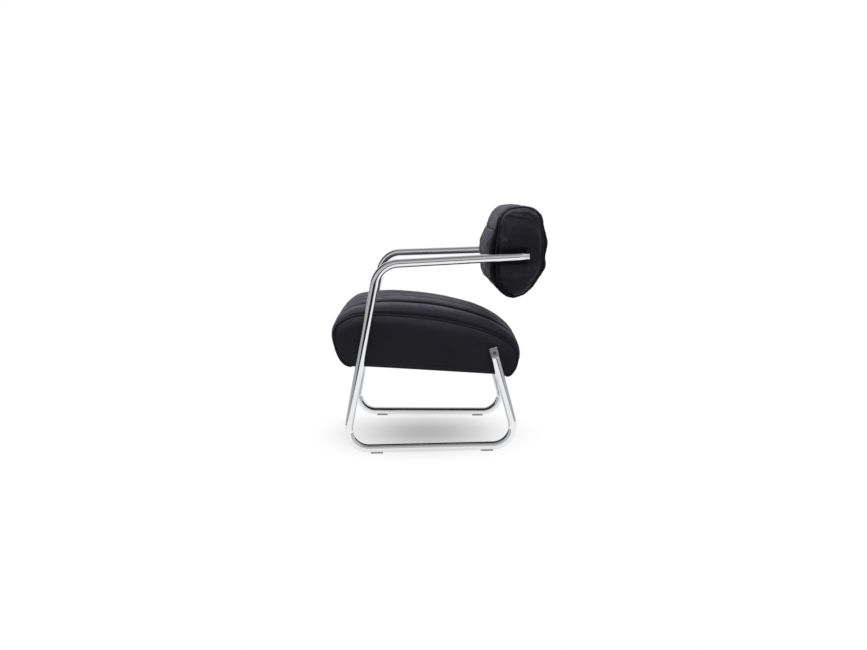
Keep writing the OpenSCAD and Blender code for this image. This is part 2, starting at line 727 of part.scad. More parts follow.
// Rounded upright plate of the backrest frame, grown by a length
module board_outline(grow) {
    low = board_r - grow;
    for (y = [low, board_d - low]) for (z = [low, board_h - low]) translate([y, z]) circle(r = board_r);
    translate([-grow, low]) square([board_d + 2 * grow, board_h - 2 * low]);
    translate([low, -grow]) square([board_d - 2 * low, board_h + 2 * grow]);
}

back_stretch = 1 / cos(arm_toe);
upper_z = board_z + board_h - board_r - stretcher_h;
lower_z = board_z + board_r;
stretcher_y = board_mid_y - stretcher_d / 2;
// The screws run square to the boards, so their heads lie further back than their tips
screw_drift = wood_screw_l * sin(arm_toe);
stretcher_screw_places = [for (z = [lower_z + stretcher_h / 2, upper_z + stretcher_h / 2])
    for (side = [-1, 1]) [board_mid_y + screw_drift / 2 + side * stretcher_d / 4, z]];

module back_wood_screw(p, grow, run_on) {
    on_back_side(-soft_gap) translate([p[0] * back_stretch, p[1], 0])
        wood_screw(wood_screw_d + grow, wood_head_d + grow, run_on);
}

module back_board() {
    color("burlywood") difference() {
        on_back_side(-soft_gap - board_t) linear_extrude(board_t)
            translate([board_mid_y * back_stretch - board_d / 2, board_z]) board_outline(0);
        for (p = arm_fixes) at_arm(p) bar_x(-back_reach - 2 * board_t, 0, bolt_d + hole_gap);
        for (p = stretcher_screw_places) back_wood_screw(p, hole_gap, overrun);
    }
}

module back_left_board() {
    back_board();
}

module back_right_board() {
    mirror([1, 0, 0]) back_board();
}

function board_half_w(y) = back_half_w(y) - (soft_gap + board_t) / cos(arm_toe) - touch_gap;

module stretcher(z) {
    y0 = stretcher_y;
    y1 = stretcher_y + stretcher_d;
    color("burlywood") difference() {
        translate([0, 0, z]) linear_extrude(stretcher_h)
            polygon([[-board_half_w(y0), y0], [board_half_w(y0), y0],
                [board_half_w(y1), y1], [-board_half_w(y1), y1]]);
        both_sides() for (p = stretcher_screw_places) back_wood_screw(p, hole_gap, overrun);
    }
}

module back_upper_stretcher() {
    stretcher(upper_z);
}

module back_lower_stretcher() {
    stretcher(lower_z);
}

module back_stretcher_screws() {
    color("gray") both_sides() for (p = stretcher_screw_places) back_wood_screw(p, 0, 0);
}

module back_belts_front() {
    pitch = 2 * board_half_w(stretcher_y + stretcher_d) / back_belts;
    color("darkkhaki") for (i = [0:back_belts - 1])
        translate([(i - (back_belts - 1) / 2) * pitch - belt_w / 2, stretcher_y - touch_gap - belt_t,
            lower_z]) cube([belt_w, belt_t, upper_z + stretcher_h - lower_z]);
}

module back_cushion() {
    wide = 2 * arm_x(0);
    last = back_half_w(board_mid_y);
    color("black") difference() {
        ring_solid([for (u = back_width_shares) back_ring(u)], [-last, board_mid_y, back_z + back_h / 2],
            [last, board_mid_y, back_z + back_h / 2]);
        translate([-wide / 2, board_mid_y - board_d / 2, board_z]) rotate([90, 0, 90]) linear_extrude(wide)
            board_outline(2 * soft_gap);
    }
}

// The end panel stands out above and below the arm's line and is pinched along it
function arm_z(y) = arm_end[2] - (arm_end[1] - y) * arm_rise / arm_run;
function puff(y, z) = panel_puff * (1 - exp(-pow((z - arm_z(y)) / pinch_h, 2) / 2));
// Rows of the end panel from its rim inwards, as shares of its outline, its thickness and its puff
back_panel_shares = [[1, 0, 0], [1, 0.5, 0], [0.94, 0.85, 0.35], [0.75, 1, 0.85], [0.4, 1, 1]];

module back_panel() {
    out = soft_gap / cos(arm_toe);
    centre = [board_mid_y, arm_end[2]];
    middle_x = back_half_w(centre[0]) + out;
    seam = [for (p = back_ring(1)) [p[1], p[2]]];
    rings = [for (s = back_panel_shares) [for (p = seam) let(q = centre + (p - centre) * s[0])
        [back_half_w(q[0]) + out + s[1] * panel_t + s[2] * puff(q[0], q[1]), q[0], q[1]]]];
    color("black") difference() {
        ring_solid(rings, [middle_x, centre[0], centre[1]], [middle_x + panel_t, centre[0], centre[1]]);
        for (p = arm_fixes) at_arm(p) bar_x(-back_reach - board_t, 0, bolt_d + hole_gap);
    }
}

module back_left_panel() {
    back_panel();
}

module back_right_panel() {
    mirror([1, 0, 0]) back_panel();
}

left_side_frame();
right_side_frame();
arm_end_caps();
upright_end_caps();
floor_glides();
threaded_bushes();
saddle_washers();
leg_bolts();
upright_screws();
arm_bolts();
flat_washers();
rail_inserts();
seat_left_rail();
seat_right_rail();
seat_front_rail();
seat_rear_rail();
seat_corner_blocks();
seat_rail_screws();
seat_long_belts();
seat_cross_belts();
seat_foam_core();
seat_bottom_cloth();
seat_cushion();
seat_left_panel();
seat_right_panel();
back_left_board();
back_right_board();
back_upper_stretcher();
back_lower_stretcher();
back_stretcher_screws();
back_belts_front();
back_cushion();
back_left_panel();
back_right_panel();
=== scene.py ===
"""Dressed model of a low lounge chair: two chromed tube side frames, a channelled leather seat and a roll backrest.

Every size is in metres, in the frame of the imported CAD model: +Z up, -Y the front, +X the sitter's left.
"""
import logging
import math
from dataclasses import dataclass, field
from enum import Enum
from typing import Callable, Sequence

import bmesh
import bpy
import numpy as np
from mathutils import Matrix, Vector


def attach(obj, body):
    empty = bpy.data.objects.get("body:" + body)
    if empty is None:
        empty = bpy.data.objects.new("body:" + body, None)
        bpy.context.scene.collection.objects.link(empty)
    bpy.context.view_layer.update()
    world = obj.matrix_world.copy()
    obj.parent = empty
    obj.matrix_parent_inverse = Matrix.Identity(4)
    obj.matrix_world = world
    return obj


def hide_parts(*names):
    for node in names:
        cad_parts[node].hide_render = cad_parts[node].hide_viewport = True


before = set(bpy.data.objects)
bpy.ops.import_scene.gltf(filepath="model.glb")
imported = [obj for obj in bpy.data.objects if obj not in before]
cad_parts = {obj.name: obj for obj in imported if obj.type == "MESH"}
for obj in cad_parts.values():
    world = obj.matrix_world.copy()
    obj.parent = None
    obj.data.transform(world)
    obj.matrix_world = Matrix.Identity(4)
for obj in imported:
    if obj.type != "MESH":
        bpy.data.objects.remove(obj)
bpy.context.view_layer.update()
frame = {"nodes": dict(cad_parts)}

log = logging.getLogger("chair")
MM = 0.001
BODY = "root"
HELD = "held"
# Mesh attribute of painted shade: how far the leather is darkened in creases, grooves and seams
PAINTED_SHADE = "painted_shade"
NOISE_CELLS = 48
STITCH_R = 0.0005
STITCH_STEP = 0.006
STITCH_L = 0.0042
WELD = 0.00002
QUARTER = math.pi / 2
Rgb = tuple[float, float, float]
Stops = tuple[tuple[float, float], ...]
Shares = Callable[[np.ndarray, np.ndarray], np.ndarray]
Socket = bpy.types.NodeSocket


class Side(Enum):
    """Which half of the chair a piece belongs to, as the sign of its X."""

    LEFT = 1
    RIGHT = -1

    @property
    def label(self) -> str:
        """The side's name as it stands in the names of pieces."""
        return self.name.lower()


class Slot(Enum):
    """Names of material slots for the chair's finishes."""

    CHROME = "chrome"
    LEATHER = "leather"
    CLOTH = "cloth"
    STEEL = "steel"


# ---------------------------------------------------------------- curves and meshes


def unit(v: np.ndarray) -> np.ndarray:
    """Rows of v scaled to length one."""
    return v / np.maximum(np.linalg.norm(v, axis=-1, keepdims=True), 1e-12)


def look_up(t: np.ndarray, share: np.ndarray, rows: np.ndarray) -> np.ndarray:
    """Rows of points looked up at shares t."""
    return np.stack([np.interp(t, share, column) for column in rows.T], axis=-1)


def spline(points: Sequence[Sequence[float]], steps: int, closed: bool) -> np.ndarray:
    """Smooth curve through points.

    Args:
        points: rows of any width, in order.
        steps: curve points for each row.
        closed: whether the last row joins the first.

    Returns:
        The curve's points; an open curve ends on the last row.
    """
    p = np.asarray(points, float)
    count = len(p)
    t = np.linspace(0, 1, steps, endpoint=False)[:, None]
    rows = []
    for i in range(count if closed else count - 1):
        a, b, c, d = (
            (p[(i + k) % count] if closed else p[min(max(i + k, 0), count - 1)]) for k in (-1, 0, 1, 2)
        )
        rows.append(
            (2 * b + (c - a) * t + (2 * a - 5 * b + 4 * c - d) * t**2 + (3 * b - a - 3 * c + d) * t**3) / 2
        )
    if not closed:
        rows.append(p[-1:])
    return np.concatenate(rows)


@dataclass
class Outline:
    """A section's outline, looked up by its share of the whole length, with more columns carried along.

    Args:
        points: rows whose first two columns are the place in the section's plane.
        closed: whether the outline closes on itself.
        turn: 1 or -1, whichever makes the normals point out of the section.
    """

    points: np.ndarray
    closed: bool
    turn: float = 1.0
    share: np.ndarray = field(init=False)
    length: float = field(init=False)
    normals: np.ndarray = field(init=False)

    def __post_init__(self) -> None:
        """Measures the outline and its normals."""
        p = np.vstack([self.points, self.points[:1]]) if self.closed else self.points
        run = np.concatenate([[0], np.cumsum(np.linalg.norm(np.diff(p[:, :2], axis=0), axis=1))])
        self.length = float(run[-1])
        self.share = run / self.length
        if self.closed:
            ahead = np.roll(self.points[:, :2], -1, axis=0) - np.roll(self.points[:, :2], 1, axis=0)
            ahead = np.vstack([ahead, ahead[:1]])
        else:
            ahead = np.gradient(p[:, :2], axis=0)
        d = unit(ahead)
        self.normals = np.stack([-d[:, 1], d[:, 0]], axis=1) * self.turn
        self.points = p

    def at(self, t: np.ndarray, column: int) -> np.ndarray:
        """Value of a column at shares t of the length."""
        return np.interp(t, self.share, self.points[:, column])

    def place(self, t: np.ndarray) -> np.ndarray:
        """Points in the section's plane at shares t of the length."""
        return look_up(t, self.share, self.points[:, :2])

    def out(self, t: np.ndarray) -> np.ndarray:
        """Outward unit normals at shares t of the length."""
        return unit(look_up(t, self.share, self.normals))


def lumps(points: np.ndarray, size: float, seed: int) -> np.ndarray:
    """Smooth noise between about -1 and 1 at points in metres, with lumps of that size."""
    table = np.random.default_rng(seed).uniform(-1, 1, (NOISE_CELLS,) * 3)
    cell = np.floor(points / size).astype(int)
    part = points / size - cell
    part = part * part * (3 - 2 * part)
    total = np.zeros(len(points))
    for corner in np.ndindex(2, 2, 2):
        weight = np.prod(np.where(corner, part, 1 - part), axis=1)
        x, y, z = ((cell + corner) % NOISE_CELLS).T
        total += weight * table[x, y, z]
    return total


def ripples(points: np.ndarray, layers: Sequence[tuple[float, int, float]]) -> np.ndarray:
    """Sum of layers of smooth noise, each with the size of its lumps, its seed and its height."""
    return sum(lumps(points, size, seed) * height for size, seed, height in layers)


def edge_round(d: np.ndarray, reach: float, power: float = 2.2) -> np.ndarray:
    """Height from 0 to 1 of a rounded edge at distance d from its rim, full at reach."""
    s = np.clip(1 - d / reach, 0, 1)
    return (1 - s**power) ** (1 / power)


def grid_piece(
    name: str,
    columns: int,
    rows: int,
    place: Shares,
    weld: float = 0.0,
    flip: bool = False,
    held: Shares | None = None,
    painted_shade: Shares | None = None,
) -> bpy.types.Object:
    """Sheet of quads bent into place.

    Args:
        name: the piece's name.
        columns: faces along the first direction.
        rows: faces along the second direction.
        place: gives the points for two arrays of shares from 0 to 1.
        weld: distance under which doubled points are joined, or 0.
        flip: whether the faces turn round.
        held: gives how firmly seams hold the points, from 0 to 1, for the same shares.
        painted_shade: gives the shade painted on the points where they lie in a seam or groove, from 0 to 1, for the
            same shares.

    Returns:
        The new object, linked to the scene.
    """
    bm = bmesh.new()
    bmesh.ops.create_grid(bm, x_segments=columns, y_segments=rows, size=0.5)
    flat = np.array([v.co for v in bm.verts], float)
    for label, share_at in ((HELD, held), (PAINTED_SHADE, painted_shade)):
        if share_at:
            layer = bm.verts.layers.float.new(label)
            for v, share in zip(bm.verts, share_at(flat[:, 0] + 0.5, flat[:, 1] + 0.5)):
                v[layer] = share
    for v, p in zip(bm.verts, place(flat[:, 0] + 0.5, flat[:, 1] + 0.5)):
        v.co = p
    if weld:
        bmesh.ops.remove_doubles(bm, verts=bm.verts, dist=weld)
        bmesh.ops.dissolve_degenerate(bm, edges=bm.edges, dist=weld / 2)
    if flip:
        bmesh.ops.reverse_faces(bm, faces=bm.faces)
    return mesh_piece(name, bm)


def verts_of(geom: Sequence[object]) -> list[bmesh.types.BMVert]:
    """The vertices in an operator's result."""
    return [g for g in geom if isinstance(g, bmesh.types.BMVert)]


def mesh_piece(name: str, bm: bmesh.types.BMesh, smooth: bool = True) -> bpy.types.Object:
    """Turns a bmesh into a linked object at the origin.

    Args:
        name: the piece's name.
        bm: the finished bmesh, which is freed.
        smooth: whether its faces are shaded smooth.

    Returns:
        The object.
    """
    mesh = bpy.data.meshes.new(name)
    for f in bm.faces:
        f.smooth = smooth
    bm.to_mesh(mesh)
    bm.free()
    piece = bpy.data.objects.new(name, mesh)
    bpy.context.scene.collection.objects.link(piece)
    return piece


def dress(piece: bpy.types.Object, material: bpy.types.Material) -> bpy.types.Object:
    """Gives a piece its material and lets it ride on the chair's body."""
    piece.data.materials.clear()
    piece.data.materials.append(material)
    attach(piece, BODY)
    return piece


def subdivide(piece: bpy.types.Object, levels: int) -> None:
    """Adds a subdivision surface with equal levels in view and render."""
    m = piece.modifiers.new("smooth", "SUBSURF")
    m.levels = m.render_levels = levels
    m.boundary_smooth = "PRESERVE_CORNERS"


@dataclass(frozen=True)
class Hide:
    """How the simulated leather behaves as cloth."""

    frames: int = 16
    pins: float = 5
    quality: int = 4
    mass: float = 0.25
    air: float = 2.0
    stretch: float = 12
    shear: float = 4
    bending: float = 0.25


def swell(piece: bpy.types.Object, pressure: float, grow: float, cap: float, hide: Hide = Hide()) -> None:
    """Swells and creases a cover as cloth that its seams hold, then keeps the result in its mesh.

    Args:
        piece: a piece whose points carry how firmly they are held.
        pressure: push of the padding from inside.
        grow: share by which the cloth is cut larger than its shape.
        cap: the farthest that a free point may move.
        hide: how the cloth behaves.
    """
    mesh = piece.data
    held = np.zeros(len(mesh.vertices))
    mesh.attributes[HELD].data.foreach_get("value", held)
    mesh.attributes.remove(mesh.attributes[HELD])
    group = piece.vertex_groups.new(name=HELD)
    for i in np.flatnonzero(held > 0):
        group.add([int(i)], float(held[i]), "REPLACE")
    cloth = piece.modifiers.new("cloth", "CLOTH")
    settings = cloth.settings
    settings.vertex_group_mass = HELD
    settings.pin_stiffness = hide.pins
    settings.use_pressure, settings.uniform_pressure_force = True, pressure
    settings.effector_weights.gravity = 0
    settings.shrink_min = -grow
    settings.quality, settings.mass, settings.air_damping = hide.quality, hide.mass, hide.air
    settings.tension_stiffness = settings.compression_stiffness = hide.stretch
    settings.shear_stiffness, settings.bending_stiffness = hide.shear, hide.bending
    cloth.collision_settings.use_collision = False
    cloth.point_cache.frame_start, cloth.point_cache.frame_end = 1, hide.frames
    for step in range(1, hide.frames + 1):
        bpy.context.scene.frame_set(step)
    shown = piece.evaluated_get(bpy.context.evaluated_depsgraph_get()).data
    before, after = np.zeros(3 * len(held)), np.zeros(3 * len(held))
    mesh.vertices.foreach_get("co", before)
    shown.vertices.foreach_get("co", after)
    move = (after - before).reshape(-1, 3)
    far = np.maximum(np.linalg.norm(move, axis=1), 1e-9)
    reach = cap * np.tanh(far / cap) * (1 - held)
    piece.modifiers.remove(cloth)
    piece.vertex_groups.remove(group)
    mesh.vertices.foreach_set("co", before + (move * (reach / far)[:, None]).ravel())
    mesh.update()
    bpy.context.scene.frame_set(1)
    log.info("%s: swollen by %.1f mm on average, %.1f mm at most", piece.name, reach.mean() / MM, reach.max() / MM)


def rod_piece(name: str, centre: np.ndarray, radius: float, sides: int, closed: bool) -> bpy.types.Object:
    """Round cord along a row of points, such as a welt.

    Args:
        name: the piece's name.
        centre: the points of its centre line.
        radius: its radius.
        sides: faces around it.
        closed: whether the line closes on itself.

    Returns:
        The object.
    """
    line = np.vstack([centre, centre[:1]]) if closed else centre
    if closed:
        ahead = unit(np.roll(centre, -1, axis=0) - np.roll(centre, 1, axis=0))
        ahead = np.vstack([ahead, ahead[:1]])
    else:
        ahead = unit(np.gradient(centre, axis=0))
    reference = np.array([1.0, 0.0, 0.0])
    across = unit(reference - ahead * (ahead @ reference)[:, None])
    up = np.cross(ahead, across)
    share = np.linspace(0, 1, len(line))

    def place(u: np.ndarray, v: np.ndarray) -> np.ndarray:
        """Points at share u of the line and share v of the round."""
        at, a, b = (look_up(u, share, rows) for rows in (line, across, up))
        angle = v[:, None] * 2 * math.pi
        return at + (a * np.cos(angle) + b * np.sin(angle)) * radius

    return grid_piece(name, len(line) - 1, sides, place, weld=radius * 0.02)


def stitch_piece(name: str, lines: Sequence[np.ndarray], length: float = STITCH_L) -> bpy.types.Object:
    """Rows of short thread stitches lying on a surface.

    Args:
        name: the piece's name.
        lines: rows of points in which the stitches have their middles.
        length: length of a stitch.

    Returns:
        The object.
    """
    bm = bmesh.new()
    size = Matrix.Diagonal((STITCH_R, STITCH_R, length / 2, 1))
    for line in lines:
        for p, d in zip(line, unit(np.gradient(line, axis=0))):
            turn = Vector(d).to_track_quat("Z", "Y").to_matrix().to_4x4()
            place = Matrix.Translation(Vector(p)) @ turn @ size
            bmesh.ops.create_uvsphere(bm, u_segments=6, v_segments=5, radius=1, matrix=place)
    return mesh_piece(name, bm)


def with_curls(knots: np.ndarray, edge: np.ndarray) -> tuple[np.ndarray, np.ndarray, np.ndarray]:
    """Adds the columns that curl in past both side seams.

    Args:
        knots: places of a cover's columns across, from -1 to 1.
        edge: distances of the added columns past a seam.

    Returns:
        For each column its share of the grid, its place across and its distance past the seam.
    """
    u = np.concatenate([-np.ones(len(edge)), knots, np.ones(len(edge))])
    e = np.concatenate([edge[::-1], 0 * knots, edge])
    return np.linspace(0, 1, len(u)), u, e


def tube_turn(ahead: Vector) -> Matrix:
    """Turns the Z axis into a direction."""
    return ahead.to_track_quat("Z", "X").to_matrix().to_4x4()


# ---------------------------------------------------------------- materials


class Nodes:
    """Short hand for building one node tree."""

    def __init__(self, tree: bpy.types.NodeTree) -> None:
        """Keeps the tree and empties it."""
        self.tree = tree
        tree.nodes.clear()

    def add(self, kind: str, settings: dict | None = None, **inputs: object) -> bpy.types.Node:
        """Adds a node.

        Args:
            kind: the node's type name without its ShaderNode prefix, or a full type name.
            settings: properties of the node.
            **inputs: values or output sockets for its inputs, with _ for a space; a leading n counts inputs.

        Returns:
            The node.
        """
        full = kind if kind.startswith("Node") else "ShaderNode" + kind
        node = self.tree.nodes.new(full)
        for key, value in (settings or {}).items():
            setattr(node, key, value)
        for key, value in inputs.items():
            place = int(key[1:]) if key[0] == "n" and key[1:].isdigit() else key.replace("_", " ")
            if isinstance(value, Socket):
                self.tree.links.new(value, node.inputs[place])
            else:
                node.inputs[place].default_value = value
        return node

    def math(self, operation: str, a: object, b: object = 0.0) -> Socket:
        """Result of a Math node on two values or sockets."""
        return self.add("Math", {"operation": operation}, n0=a, n1=b).outputs[0]

    def vector(self, operation: str, a: object, b: object = (0.0, 0.0, 0.0)) -> bpy.types.Node:
        """A VectorMath node on two vectors or sockets."""
        return self.add("VectorMath", {"operation": operation}, n0=a, n1=b)

    def span(
        self, value: object, low: float, high: float, to_low: float = 0.0, to_high: float = 1.0, smooth: bool = True
    ) -> Socket:
        """A value mapped from one range to another, smoothly or straight."""
        kind = {"interpolation_type": "SMOOTHSTEP" if smooth else "LINEAR"}
        return self.add("MapRange", kind, n0=value, n1=low, n2=high, n3=to_low, n4=to_high).outputs[0]

    def mix(self, share: object, a: Rgb | Socket, b: Rgb | Socket) -> Socket:
        """Blend of two colours, each given as a value or a socket."""
        ends = {
            key: colour if isinstance(colour, Socket) else (*colour, 1) for key, colour in (("n6", a), ("n7", b))
        }
        return self.add("Mix", {"data_type": "RGBA"}, n0=share, **ends).outputs[2]

    def noise(self, place: Socket, scale: object, detail: float, out: str = "Fac", **more: object) -> Socket:
        """Result of a noise texture."""
        return self.add("TexNoise", Vector=place, Scale=scale, Detail=detail, **more).outputs[out]

    def moved(self, place: Socket, scale: float, detail: float, by: float) -> Socket:
        """Coordinates shifted about by noise."""
        drift = self.noise(place, scale, detail, "Color")
        shift = self.add("VectorMath", {"operation": "SCALE"}, n0=drift, Scale=by).outputs[0]
        return self.vector("ADD", place, shift).outputs[0]

    def bump(self, strength: float, depth: float, height: Socket, **more: object) -> Socket:
        """Normals bent by a height."""
        return self.add("Bump", Strength=strength, Distance=depth, Height=height, **more).outputs[0]

    def group(self, name: str, place: Socket, **values: float) -> bpy.types.Node:
        """One of the shared node groups."""
        return self.add("Group", {"node_tree": Groups.get(name)}, Vector=place, **values)


def node_group(
    name: str, inputs: dict[str, float], outputs: Sequence[str]
) -> tuple[bpy.types.NodeTree, Nodes, bpy.types.NodeOutputs]:
    """Starts a shader node group.

    Args:
        name: the group's name.
        inputs: names and defaults of its number inputs, after a Vector input.
        outputs: names of its number outputs.

    Returns:
        The group, its node helper and the sockets of its inputs.
    """
    group = bpy.data.node_groups.new(name, "ShaderNodeTree")
    nodes = Nodes(group)
    group.interface.new_socket("Vector", in_out="INPUT", socket_type="NodeSocketVector")
    for key, value in inputs.items():
        group.interface.new_socket(key, in_out="INPUT", socket_type="NodeSocketFloat").default_value = value
    for key in outputs:
        group.interface.new_socket(key, in_out="OUTPUT", socket_type="NodeSocketFloat")
    return group, nodes, nodes.add("NodeGroupInput").outputs


def grain_group() -> bpy.types.NodeTree:
    """Pebbled hide: cells with soft valleys, finer pores and broad variation in gloss and tone."""
    group, n, given = node_group("hide_grain", {"Scale": 620.0, "Fine": 0.3}, ("Height", "Gloss", "Tone"))
    place = given["Vector"]
    moved = n.moved(place, 140.0, 2.0, 0.0012)
    edges = n.add("TexVoronoi", {"feature": "DISTANCE_TO_EDGE"}, Vector=moved, Scale=given["Scale"])
    pebble = n.span(edges.outputs["Distance"], 0.0, 0.22)
    pores = n.noise(place, n.math("MULTIPLY", given["Scale"], 3.4), 3.0)
    height = n.math("ADD", pebble, n.math("MULTIPLY", pores, given["Fine"]))
    gloss = n.span(n.noise(place, 16.0, 5.0, Roughness=0.6), 0.3, 0.7)
    tone = n.span(n.noise(place, 7.0, 3.0), 0.3, 0.7)
    n.add("NodeGroupOutput", Height=height, Gloss=gloss, Tone=tone)
    return group


def crease_group() -> bpy.types.NodeTree:
    """Fine stretch creases of a padded hide, bent and broken up by noise."""
    group, n, given = node_group("hide_creases", {"Scale": 60.0}, ("Height",))
    moved = n.moved(given["Vector"], 9.0, 2.0, 0.05)
    ridged = {"noise_type": "RIDGED_MULTIFRACTAL"}
    lines = n.add("TexNoise", ridged, Vector=moved, Scale=given["Scale"], Detail=3.0).outputs["Fac"]
    n.add("NodeGroupOutput", Height=n.span(lines, 0.55, 1.1))
    return group


def mark_group() -> bpy.types.NodeTree:
    """Faint handling marks of a metal surface: roughness that drifts, and hair-fine scratches."""
    group, n, given = node_group("polish_marks", {"Low": 0.04, "High": 0.09}, ("Roughness", "Height"))
    mask = n.span(n.noise(given["Vector"], 22.0, 5.0, Roughness=0.65), 0.45, 0.75)
    spread = n.math("SUBTRACT", given["High"], given["Low"])
    rough = n.math("ADD", given["Low"], n.math("MULTIPLY", mask, spread))
    n.add("NodeGroupOutput", Roughness=rough, Height=n.noise(given["Vector"], 900.0, 2.0))
    return group


def weave_group() -> bpy.types.NodeTree:
    """Plain weave of two thread directions."""
    group, n, given = node_group("plain_weave", {"Scale": 900.0}, ("Height", "Mask"))
    waves = [
        n.add("TexWave", {"bands_direction": axis}, Vector=given["Vector"], Scale=given["Scale"], Distortion=0.4)
        for axis in ("X", "Y")
    ]
    height = n.math("MAXIMUM", *(wave.outputs["Fac"] for wave in waves))
    n.add("NodeGroupOutput", Height=height, Mask=n.span(n.noise(given["Vector"], 30.0, 4.0), 0.3, 0.7))
    return group


class Groups:
    """The shared node groups, each built once when first asked for."""

    _built: dict[str, bpy.types.NodeTree] = {}
    _makers: dict[str, Callable[[], bpy.types.NodeTree]] = {
        "grain": grain_group,
        "creases": crease_group,
        "marks": mark_group,
        "weave": weave_group,
    }

    @classmethod
    def get(cls, name: str) -> bpy.types.NodeTree:
        """The group of that name."""
        if name not in cls._built:
            cls._built[name] = cls._makers[name]()
        return cls._built[name]


def start_material(name: str) -> tuple[bpy.types.Material, Nodes, Socket]:
    """New node material with its helper and its Object coordinates."""
    material = bpy.data.materials.new(name)
    material.use_nodes = True
    n = Nodes(material.node_tree)
    return material, n, n.add("TexCoord").outputs["Object"]


@dataclass(frozen=True)
class Finish:
    """A finish made of procedural nodes in Object coordinates."""

    name: str
    colour: Rgb

    def material(self) -> bpy.types.Material:
        """Builds the material round the finish's shader."""
        material, n, place = start_material(self.name)
        n.add("OutputMaterial", Surface=self.shader(n, place).outputs[0])
        return material

    def shader(self, n: Nodes, place: Socket) -> bpy.types.Node:
        """Builds the shader.

        Args:
            n: the material's node helper.
            place: the Object coordinates.

        Returns:
            The shader's node.
        """
        raise NotImplementedError


@dataclass(frozen=True)
class LeatherFinish(Finish):
    """Soft black hide with a fine grain and a satin sheen, with shade painted into its seams and grooves through a mesh
    attribute.
    """

    name: str = "black_hide"
    colour: Rgb = (0.0128, 0.0119, 0.0178)
    worn: Rgb = (0.0168, 0.0158, 0.0222)
    # Near-black colour of the shade painted into creases, grooves and seams
    painted_shade_colour: Rgb = (0.0012, 0.0011, 0.0014)
    rough: tuple[float, float] = (0.38, 0.50)
    specular: float = 0.11
    grain_scale: float = 620.0
    grain_depth: float = 0.00018
    crease_scale: float = 42.0
    crease_depth: float = 0.0005

    def shader(self, n: Nodes, place: Socket) -> bpy.types.Node:
        """Builds the shader."""
        grain = n.group("grain", place, Scale=self.grain_scale).outputs
        creases = n.group("creases", place, Scale=self.crease_scale).outputs
        # Painted shade: the mesh attribute turns the tone near black and the gloss rough in creases, grooves and seams
        painted_shade_mask = n.add("Attribute", {"attribute_type": "GEOMETRY", "attribute_name": PAINTED_SHADE}).outputs["Fac"]
        tone = n.mix(painted_shade_mask, n.mix(grain["Tone"], self.colour, self.worn), self.painted_shade_colour)
        rough = n.math("MAXIMUM", n.span(grain["Gloss"], 0.0, 1.0, *self.rough), painted_shade_mask)
        broad = n.bump(0.35, self.crease_depth, creases["Height"])
        fine = n.bump(0.6, self.grain_depth, grain["Height"], Normal=broad)
        gloss = {"Specular_IOR_Level": self.specular}
        return n.add("BsdfPrincipled", Base_Color=tone, Roughness=rough, Normal=fine, **gloss)


@dataclass(frozen=True)
class MetalFinish(Finish):
    """Metal with faint handling marks, from polished chrome to a dull bore."""

    rough: tuple[float, float]
    metallic: float = 1.0
    scratches: float = 0.15

    def shader(self, n: Nodes, place: Socket) -> bpy.types.Node:
        """Builds the shader."""
        low, high = self.rough
        marks = n.group("marks", place, Low=low, High=high).outputs
        bump = n.bump(self.scratches, 0.0001, marks["Height"])
        look = {"Base_Color": (*self.colour, 1), "Metallic": self.metallic}
        return n.add("BsdfPrincipled", Roughness=marks["Roughness"], Normal=bump, **look)


@dataclass(frozen=True)
class ClothFinish(Finish):
    """Woven cloth, webbing or thread."""

    shade: Rgb
    scale: float = 900.0
    depth: float = 0.0003

    def shader(self, n: Nodes, place: Socket) -> bpy.types.Node:
        """Builds the shader."""
        weave = n.group("weave", place, Scale=self.scale).outputs
        tone = n.mix(weave["Mask"], self.colour, self.shade)
        bump = n.bump(0.6, self.depth, weave["Height"])
        return n.add("BsdfPrincipled", Base_Color=tone, Normal=bump, Roughness=0.85, Sheen_Weight=0.15)


@dataclass(frozen=True)
class WoodFinish(Finish):
    """Raw beech of the inner frames, with long grain and fine pores."""

    name: str = "raw_beech"
    colour: Rgb = (0.52, 0.36, 0.22)
    dark: Rgb = (0.38, 0.24, 0.13)

    def shader(self, n: Nodes, place: Socket) -> bpy.types.Node:
        """Builds the shader."""
        long = n.add("Mapping", Vector=place, Scale=(4.0, 4.0, 30.0)).outputs[0]
        rings = n.add("TexWave", {"bands_direction": "Z"}, Vector=long, Scale=1.5, Distortion=6.0, Detail=3.0)
        pores = n.noise(long, 40.0, 4.0)
        tone = n.mix(n.math("MULTIPLY", rings.outputs["Fac"], 0.6), self.colour, self.dark)
        rough = n.span(pores, 0.3, 0.7, 0.5, 0.7)
        return n.add("BsdfPrincipled", Base_Color=tone, Roughness=rough, Normal=n.bump(0.3, 0.0004, pores))


@dataclass(frozen=True)
class PlasticFinish(Finish):
    """Matt moulded plastic with a fine eroded texture."""

    def shader(self, n: Nodes, place: Socket) -> bpy.types.Node:
        """Builds the shader."""
        bump = n.bump(0.4, 0.0001, n.noise(place, 1400.0, 2.0))
        rough = n.span(n.noise(place, 60.0, 5.0), 0.35, 0.7, 0.45, 0.62)
        return n.add("BsdfPrincipled", Base_Color=(*self.colour, 1), Roughness=rough, Normal=bump)


